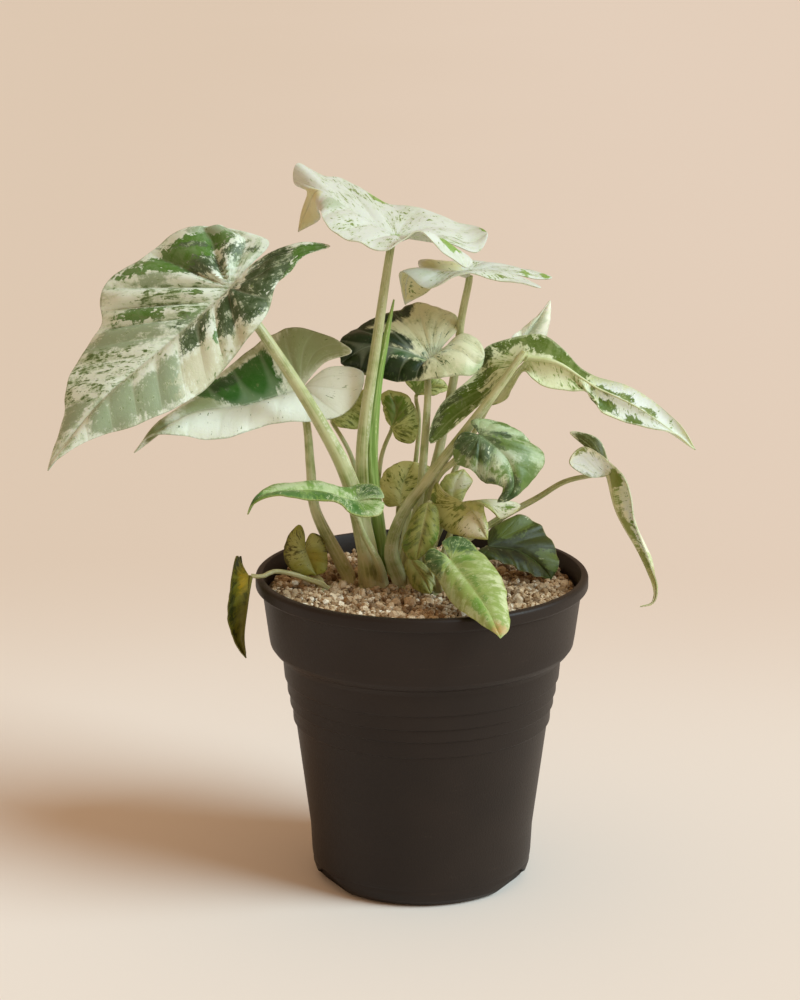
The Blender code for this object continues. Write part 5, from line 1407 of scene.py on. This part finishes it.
line, shares = smooth_through(ROLLED_LINE)
share = np.linspace(0, 1, ROLLED_RINGS)
radii = np.interp(share, shares[::CURVE_STEPS], ROLLED_RADII)
turn = np.arange(ROLLED_SIDES + 1) / ROLLED_SIDES
wound = (turn[None, :] + ROLL_TURNS * share[:, None] + ROLL_START) % 1
factors = 1 - ROLL_STEP / 2 + ROLL_STEP * wound**3
factors[:, -1] = factors[:, 0]
rolled = make_tube("rolled_leaf", point_on(line, shares, share), radii, ROLLED_SIDES, factors)
merge(rolled, close=True)
smooth(rolled, 60)


def rolled_finish():
    """Fresh green with paler streaks along the roll; the palest of them are painted highlights."""
    material, shader, shade, place = new_finish("rolled_leaf")
    share = shade.leaf_map()
    streaks = shade.noise(shade.vector(share[1] * 14, share * 5), 1, 3)
    fine = shade.noise(place, 800, 3)
    colour = shade.blend(tone(124, 158, 72), tone(160, 186, 108), streaks.step(-0.1, 0.12))
    # Painted highlights: the palest tone, laid as streaks along the roll.
    colour = shade.blend(colour, tone(206, 214, 158), (streaks + fine * 0.4).step(0.12, 0.2) * 0.8)
    bump = shade.bump(streaks + fine * 0.3, 0.6, 0.3)
    feed(shader, Base_Color=colour, Roughness=0.4 + fine * 0.2, Normal=bump)
    feed(shader, Subsurface_Weight=0.2, Subsurface_Scale=0.002, Subsurface_Radius=(0.6, 1.0, 0.3))
    return material


hand_over(rolled, "leaf_rolled", "leaf_green", rolled_finish())
print("rolled leaf:", len(rolled.data.polygons), "faces")

# %% [markdown]
# ## The nursery pot
# Such a pot is blown or moulded thin from recycled plastic: a rolled lip, a deep collar, a step, four
# fine ridges and a rounded foot with drain arches. It is one outline spun about the axis. The outline
# starts as a circle of as many vertices as it has points, so the corners can be rounded by a vertex bevel
# before the spin.

# %% The pot's outline
POT_TOP = 114.0
POT_WALL = 1.2
POT_FLOOR = 1.5
LIP_RADIUS = 60.0
LIP_HEIGHT = 5.0
LIP_ROUND = 1.4
LIP_EDGE = 0.8
# Corners of the outline, each a radius and a height; ridges and the foot's seam have a height only.
COLLAR = ((57.7, 108.9), (55.4, 91.3))
STEP = ((54.9, 88.4), (53.4, 86.3), (51.3, 85.2), (50.5, 83.3))
WALL_TAPER = ((50.5, 83.3), (45.9, 58.9), (40.8, 19.0), (40.3, 9.0))
RIDGES = (75.2, 69.7, 65.0, 58.9)
RIDGE_PROUD = 0.8
RIDGE_SLOPE = 0.6
FOOT = ((40.3, 9.0), (39.9, 5.0), (39.0, 2.2), (37.6, 0.6), (36.2, 0.0))
LEDGE = ((38.9, 9.2), (34.0, 7.4))
FLOOR_RADIUS = 33.6
FOOT_SEAM = 6.4
SEAM_INSET = 0.25
SEAM_HALF = 0.4


def wall_radius(height):
    """The plain wall's outer radius at a height, ridges left out."""
    radii, heights = zip(*reversed(WALL_TAPER))
    return float(np.interp(height, heights, radii))


def pot_outline():
    """The pot's outline as radii and heights, from the floor's middle up inside and down outside."""
    outside = (*COLLAR, *STEP[::3], *WALL_TAPER[1:3])
    points = [(LIP_RADIUS - LIP_ROUND - POT_WALL, POT_TOP)]
    points += [(radius - POT_WALL, height) for radius, height in outside]
    points += [*LEDGE, (FLOOR_RADIUS, POT_FLOOR), (0.0, POT_FLOOR)]
    points.reverse()
    for angle in np.radians(np.linspace(90, 0, 7)):
        around = LIP_ROUND * np.array([math.cos(angle), math.sin(angle)])
        points.append((LIP_RADIUS - LIP_ROUND + around[0], POT_TOP - LIP_ROUND + around[1]))
    points.append((LIP_RADIUS, POT_TOP - LIP_HEIGHT + LIP_EDGE))
    points.append((LIP_RADIUS - LIP_EDGE, POT_TOP - LIP_HEIGHT))
    points += [*COLLAR, *STEP]
    for ridge in RIDGES:
        points.append((wall_radius(ridge + RIDGE_SLOPE) + RIDGE_PROUD, ridge + RIDGE_SLOPE))
        points.append((wall_radius(ridge), ridge))
    points += [WALL_TAPER[2], FOOT[0]]
    points.append((wall_radius(FOOT_SEAM) - SEAM_INSET, FOOT_SEAM + SEAM_HALF))
    points.append((wall_radius(FOOT_SEAM) - 2 * SEAM_INSET, FOOT_SEAM))
    return points + [*FOOT[1:], (0.0, 0.0)]


print("points on the pot's outline:", len(pot_outline()))

# %% Spin the pot and cut its drain arches
SPIN_STEPS = 144
CORNER_ROUND = 0.25
NOTCH_ANGLES = (-151.0, -29.0, 90.0)
NOTCH_RADIUS = 17.0
NOTCH_HEIGHT = 6.0
NOTCH_FROM = 35.4
NOTCH_LENGTH = 10.0
NOTCH_SIDES = 96


def make_pot():
    """Lay the outline as a ring of vertices, open it at the axis, round its corners and spin it."""
    outline = np.array(pot_outline())
    bpy.ops.object.select_all(action="DESELECT")
    bpy.ops.mesh.primitive_circle_add(vertices=len(outline), radius=1)
    pot = bpy.context.object
    pot.name = pot.data.name = "nursery_pot"
    set_points(pot, np.stack([outline[:, 0], np.zeros(len(outline)), outline[:, 1]], 1))
    bpy.ops.object.mode_set(mode="EDIT")
    bpy.ops.mesh.select_all(action="DESELECT")
    bpy.ops.object.mode_set(mode="OBJECT")
    for edge in pot.data.edges:
        edge.select = all(pot.data.vertices[corner].co.x < MERGE for corner in edge.vertices)
    bpy.ops.object.mode_set(mode="EDIT")
    bpy.ops.mesh.select_mode(type="EDGE")
    bpy.ops.mesh.delete(type="EDGE")
    bpy.ops.mesh.select_mode(type="VERT")
    bpy.ops.mesh.select_all(action="SELECT")
    bpy.ops.mesh.bevel(affect="VERTICES", offset=CORNER_ROUND * MM, segments=2)
    bpy.ops.mesh.select_all(action="SELECT")
    bpy.ops.mesh.spin(steps=SPIN_STEPS, angle=2 * math.pi, center=(0, 0, 0), axis=(0, 0, 1))
    bpy.ops.object.mode_set(mode="OBJECT")
    merge(pot, close=True)
    for angle in NOTCH_ANGLES:
        cut_notch(pot, math.radians(angle))
    smooth(pot, 35)
    return pot


def cut_notch(pot, turn):
    """Cut one drain arch in the foot with a lying cylinder that points the given way."""
    reach = NOTCH_FROM + NOTCH_LENGTH / 2
    middle = Vector((reach * math.cos(turn), reach * math.sin(turn), NOTCH_HEIGHT - NOTCH_RADIUS))
    bpy.ops.object.select_all(action="DESELECT")
    bpy.ops.mesh.primitive_cylinder_add(
        vertices=NOTCH_SIDES,
        radius=NOTCH_RADIUS * MM,
        depth=NOTCH_LENGTH * MM,
        location=middle * MM,
        rotation=(math.pi / 2, 0, turn + math.pi / 2),
    )
    cutter = bpy.context.object
    cut = pot.modifiers.new("Notch", "BOOLEAN")
    cut.operation = "DIFFERENCE"
    cut.object = cutter
    cut.solver = "EXACT"
    apply_all(pot)
    bpy.data.objects.remove(cutter)


nursery_pot = make_pot()
print("pot:", len(nursery_pot.data.polygons), "faces")

# %% [markdown]
# ## The pot's plastic
# Recycled plastic is a brownish black with a fine matte grain, a little dust, and faint scuffs that run
# round the wall. One flat colour would look like paint. Noise on the object's own coordinates is enough:
# clouds for the tone, a very fine one for the grain, and one pressed flat in height for the scuffs.


# %% Finish the pot
def pot_finish():
    """Matte, brownish black plastic with a fine grain, a little dust and faint scuffs."""
    material, shader, shade, place = new_finish("pot_plastic")
    clouds = shade.noise(place, 22, 3)
    grain = shade.noise(place, 1500, 2)
    scuffs = shade.noise(shade.node("Mapping", {}, {"Vector": place, "Scale": (1, 1, 9)}), 60, 4, 0.6)
    colour = shade.blend(tone(34, 26, 21), tone(40, 31, 25), clouds.step(-0.15, 0.2))
    dust = (scuffs + grain * 0.5 + clouds * 0.4).step(0.16, 0.36)
    colour = shade.blend(colour, tone(80, 68, 58), dust * 0.25)
    bump = shade.bump(grain + clouds, 0.5, 0.12)
    feed(shader, Base_Color=colour, Roughness=0.5 + dust * 0.15 + grain * 0.15, Normal=bump)
    feed(shader, Specular_IOR_Level=0.25)
    return material


hand_over(nursery_pot, "pot", "pot_plastic", pot_finish())
print("materials on the pot:", len(nursery_pot.data.materials))

# %% [markdown]
# ## The gravel
# The plant stands in crushed pumice: angular grains of two to four millimetres, tan, pink and white, some
# stained brown. The frame's solid is the bed below, in shadow colours. Eight grains are modelled, half of
# them rounded cubes and half angular chips, all jittered. Copies of them are strewn by a seeded rule over
# the bed, each turned, scaled and tinted its own way.

# %% Model the grains
GRAIN_KINDS = 8


def make_grain(seed):
    """One crushed grain, about two units across: a rounded cube or, for an even seed, an angular chip."""
    bpy.ops.object.select_all(action="DESELECT")
    if seed % 2:
        bpy.ops.mesh.primitive_cube_add(size=1.5)
    else:
        bpy.ops.mesh.primitive_ico_sphere_add(subdivisions=1, radius=1.05)
    grain = bpy.context.object
    bpy.ops.object.mode_set(mode="EDIT")
    bpy.ops.mesh.select_all(action="SELECT")
    if seed % 2:
        bpy.ops.mesh.subdivide(number_cuts=1, smoothness=0.75)
    bpy.ops.transform.vertex_random(offset=0.24, seed=seed)
    bpy.ops.object.mode_set(mode="OBJECT")
    return grain


templates = [make_grain(seed) for seed in range(GRAIN_KINDS)]
print("grains modelled:", len(templates))

# %% Where the grains lie
GRAIN_STEP = 1.8
GRAIN_ROWS = 36
GRAIN_COLUMNS = 32
ROW_GAP = 0.866
GRAIN_JITTER = 0.35
GRAIN_SIZES = (0.7, 1.4)
BIG_GRAIN = 1.9
BIG_SHARE = 0.07
TOP_LAYER_SHARE = 0.4
TOP_LAYER_LIFT = 1.1
GRAIN_LIFT = (-0.2, 0.5)
FILL_HEIGHT = 107.0
FILL_MOUND = 1.2
FILL_RADIUS = 55.4


def strew(rng):
    """Places and sizes of the grains: a jittered triangle grid with a sparser layer above it."""
    places = []
    for layer, chance in ((0, 1.0), (1, TOP_LAYER_SHARE)):
        for row in range(-GRAIN_ROWS, GRAIN_ROWS + 1):
            for step in range(-GRAIN_COLUMNS, GRAIN_COLUMNS + 1):
                jitter = [rng.uniform(-GRAIN_JITTER, GRAIN_JITTER) for side in (0, 1)]
                x = (step + 0.5 * (row % 2) + jitter[0]) * GRAIN_STEP
                y = (row * ROW_GAP + jitter[1]) * GRAIN_STEP
                size = BIG_GRAIN if rng.uniform() < BIG_SHARE else rng.uniform(*GRAIN_SIZES)
                away = math.hypot(x, y)
                clear = all(math.hypot(x - cx, y - cy) > r + size * 0.5 for cx, cy, r in CROWNS.values())
                if away < FILL_RADIUS - size and clear and rng.uniform() < chance:
                    mound = FILL_HEIGHT + FILL_MOUND * (1 - (away / FILL_RADIUS) ** 2)
                    lift = rng.uniform(*GRAIN_LIFT) + TOP_LAYER_LIFT * layer
                    places.append((x, y, mound + lift, size))
    return places


print("the gravel's bed is", 2 * FILL_RADIUS, "mm across")

# %% Strew the gravel
GRAIN_SEED = 31
GRAIN_FLAT = (0.6, 0.95)
GRAIN_NARROW = (0.7, 1.0)
HEAP = 200


def random_turn(rng):
    axis = unit(rng.normal(size=3))
    return Matrix.Rotation(rng.uniform(0, 2 * math.pi), 4, Vector(axis))


grain_rng = np.random.default_rng(GRAIN_SEED)
grains = []
for x, y, z, size in strew(grain_rng):
    template = templates[grain_rng.integers(GRAIN_KINDS)]
    grain = bpy.data.objects.new("grain", template.data.copy())
    flat = Matrix.Diagonal((1, grain_rng.uniform(*GRAIN_NARROW), grain_rng.uniform(*GRAIN_FLAT), 1))
    moved = Matrix.Translation(np.array((x, y, z)) * MM) @ random_turn(grain_rng) @ flat
    grain.data.transform(moved @ Matrix.Scale(size * MM, 4))
    set_attribute(grain, "tint", grain_rng.uniform())
    scene.collection.objects.link(grain)
    grains.append(grain)
for template in templates:
    bpy.data.objects.remove(template)
heaps = [join("heap", grains[first : first + HEAP]) for first in range(0, len(grains), HEAP)]
gravel = join("gravel", heaps)
print("grains:", len(grains), "faces:", len(gravel.data.polygons))

# %% [markdown]
# ## The stone of the gravel
# Pumice is full of pores, and each grain has its own tint. Every grain carries one random number on its
# vertices, which picks its tone from a ramp. Noise adds pores, stains and damp patches. The bed below has
# the same finish, nearly black, so that the gaps between the grains read as shade.


# %% Finish the gravel
def gravel_finish(name, deep):
    """Crushed pumice: a tint for each grain, pores and specks; deep is the shadowed bed."""
    material, shader, shade, place = new_finish(name)
    pores = shade.noise(place, 1300, 4, 0.7)
    stains = shade.noise(place, 330, 3)
    damp = shade.noise(place, 60, 2)
    tint = stains * 2 + 0.5 if deep else shade.stored("tint")
    stops = [
        (0.0, tone(112, 86, 58)), (0.2, tone(164, 134, 98)), (0.5, tone(202, 174, 138)),
        (0.8, tone(214, 190, 156)), (1.0, tone(240, 228, 206)),
    ]
    colour = shade.node("ValToRGB", {"stops": stops}, {"Fac": tint + stains * 0.25})
    colour = shade.blend(colour, tone(84, 60, 36), (pores + stains * 0.7).step(0.08, 0.22) * 0.8)
    colour = shade.blend(colour, tone(236, 226, 210), pores.step(-0.12, -0.26) * 0.6)
    colour = shade.blend(colour, tone(92, 66, 36), (damp + stains * 0.4).step(0.0, 0.16) * 0.5)
    if deep:
        colour = shade.blend(colour, tone(40, 28, 16), 0.85)
    feed(shader, Base_Color=colour, Roughness=0.92, Normal=shade.bump(pores, 0.8, 0.5))
    return material


gravel.data.materials.clear()
gravel.data.materials.append(gravel_finish("pumice_grains", False))
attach(gravel, "root")
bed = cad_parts["pumice"]
bed.data.materials.clear()
bed.data.materials.append(gravel_finish("pumice_bed", True))
print("materials of the gravel:", gravel.data.materials[0].name, bed.data.materials[0].name)

# %% [markdown]
# ## Floor and light
# The photo has one warm sweep of paper under and behind the plant, a large soft lamp to the right, and
# light bounced back by the same paper, which warms the shadows. A wide floor and a sky of the paper's own
# colour give both, and one broad, far lamp on the right gives the soft shadow to the left.

# %% The paper floor
FLOOR_SIZE = 16.0
FLOOR_DROP = 0.0002
# Painted shade: the paper's tone is lightest near the plant and painted darker towards the back and to the
# left, away from the lamp, where less light falls.
PAPER_NEAR = tone(235, 225, 215)
PAPER_FAR_SHADED = tone(225, 208, 194)
PAPER_LEFT_SHADED = tone(219, 201, 184)

bpy.ops.object.select_all(action="DESELECT")
bpy.ops.mesh.primitive_plane_add(size=FLOOR_SIZE, location=(0, FLOOR_SIZE / 4, -FLOOR_DROP))
floor = bpy.context.object
floor.name = "floor"
bpy.ops.object.transform_apply(location=True)
material, shader, shade, place = new_finish("paper")
sideways = shade.node("SeparateXYZ", {}, {0: place})
clouded = shade.noise(place, 2, 2) * 0.2
# The paper darkens to the left and to the back: painted shade for the lamp's light falling off.
shaded_back = shade.blend(PAPER_LEFT_SHADED, PAPER_FAR_SHADED, (sideways + clouded).step(-0.35, 0.35))
tint = shade.blend(PAPER_NEAR, shaded_back, (sideways[1] + clouded).step(0.05, 0.42))
feed(shader, Base_Color=tint, Roughness=0.95)
floor.data.materials.append(material)
floor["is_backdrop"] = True
print("floor:", FLOOR_SIZE, "m wide")

# %% Sky and lamp
SUN_HEIGHT = 37.0
SUN_SIDE = 68.0
SUN_WIDTH = 34.0
SUN_STRENGTH = 3.25
SUN_COLOUR = (0.78, 1.0, 1.1)
SKY_COLOUR = (0.54, 0.36, 0.228)

world = bpy.data.worlds.new("studio")
world.use_nodes = True
sky = world.node_tree.nodes["Background"]
sky.inputs["Color"].default_value = (*SKY_COLOUR, 1)
sky.inputs["Strength"].default_value = 1.0
scene.world = world

lamp_data = bpy.data.lights.new("lamp", "SUN")
lamp_data.angle = math.radians(SUN_WIDTH)
lamp_data.energy = SUN_STRENGTH
lamp_data.color = SUN_COLOUR
lamp = bpy.data.objects.new("lamp", lamp_data)
lamp.rotation_euler = (0, math.radians(90 - SUN_HEIGHT), math.radians(SUN_SIDE - 90))
scene.collection.objects.link(lamp)
scene.view_settings.view_transform = "Standard"
print("lamp", SUN_HEIGHT, "degrees above the floor,", SUN_SIDE, "degrees round from the viewer")

# %% [markdown]
# ## The size
# The dressed plant is measured against the box of the frame: for each axis, how far it reaches past that
# box is printed, in millimetres. The dressed plant has to stay inside the box of the frame.

# %% Sizes and the end
low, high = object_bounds()
beyond = [round(max(below, above) / MM, 2) for below, above in zip(cad_low - low, high - cad_high)]
print("over the frame's box in mm:", beyond)
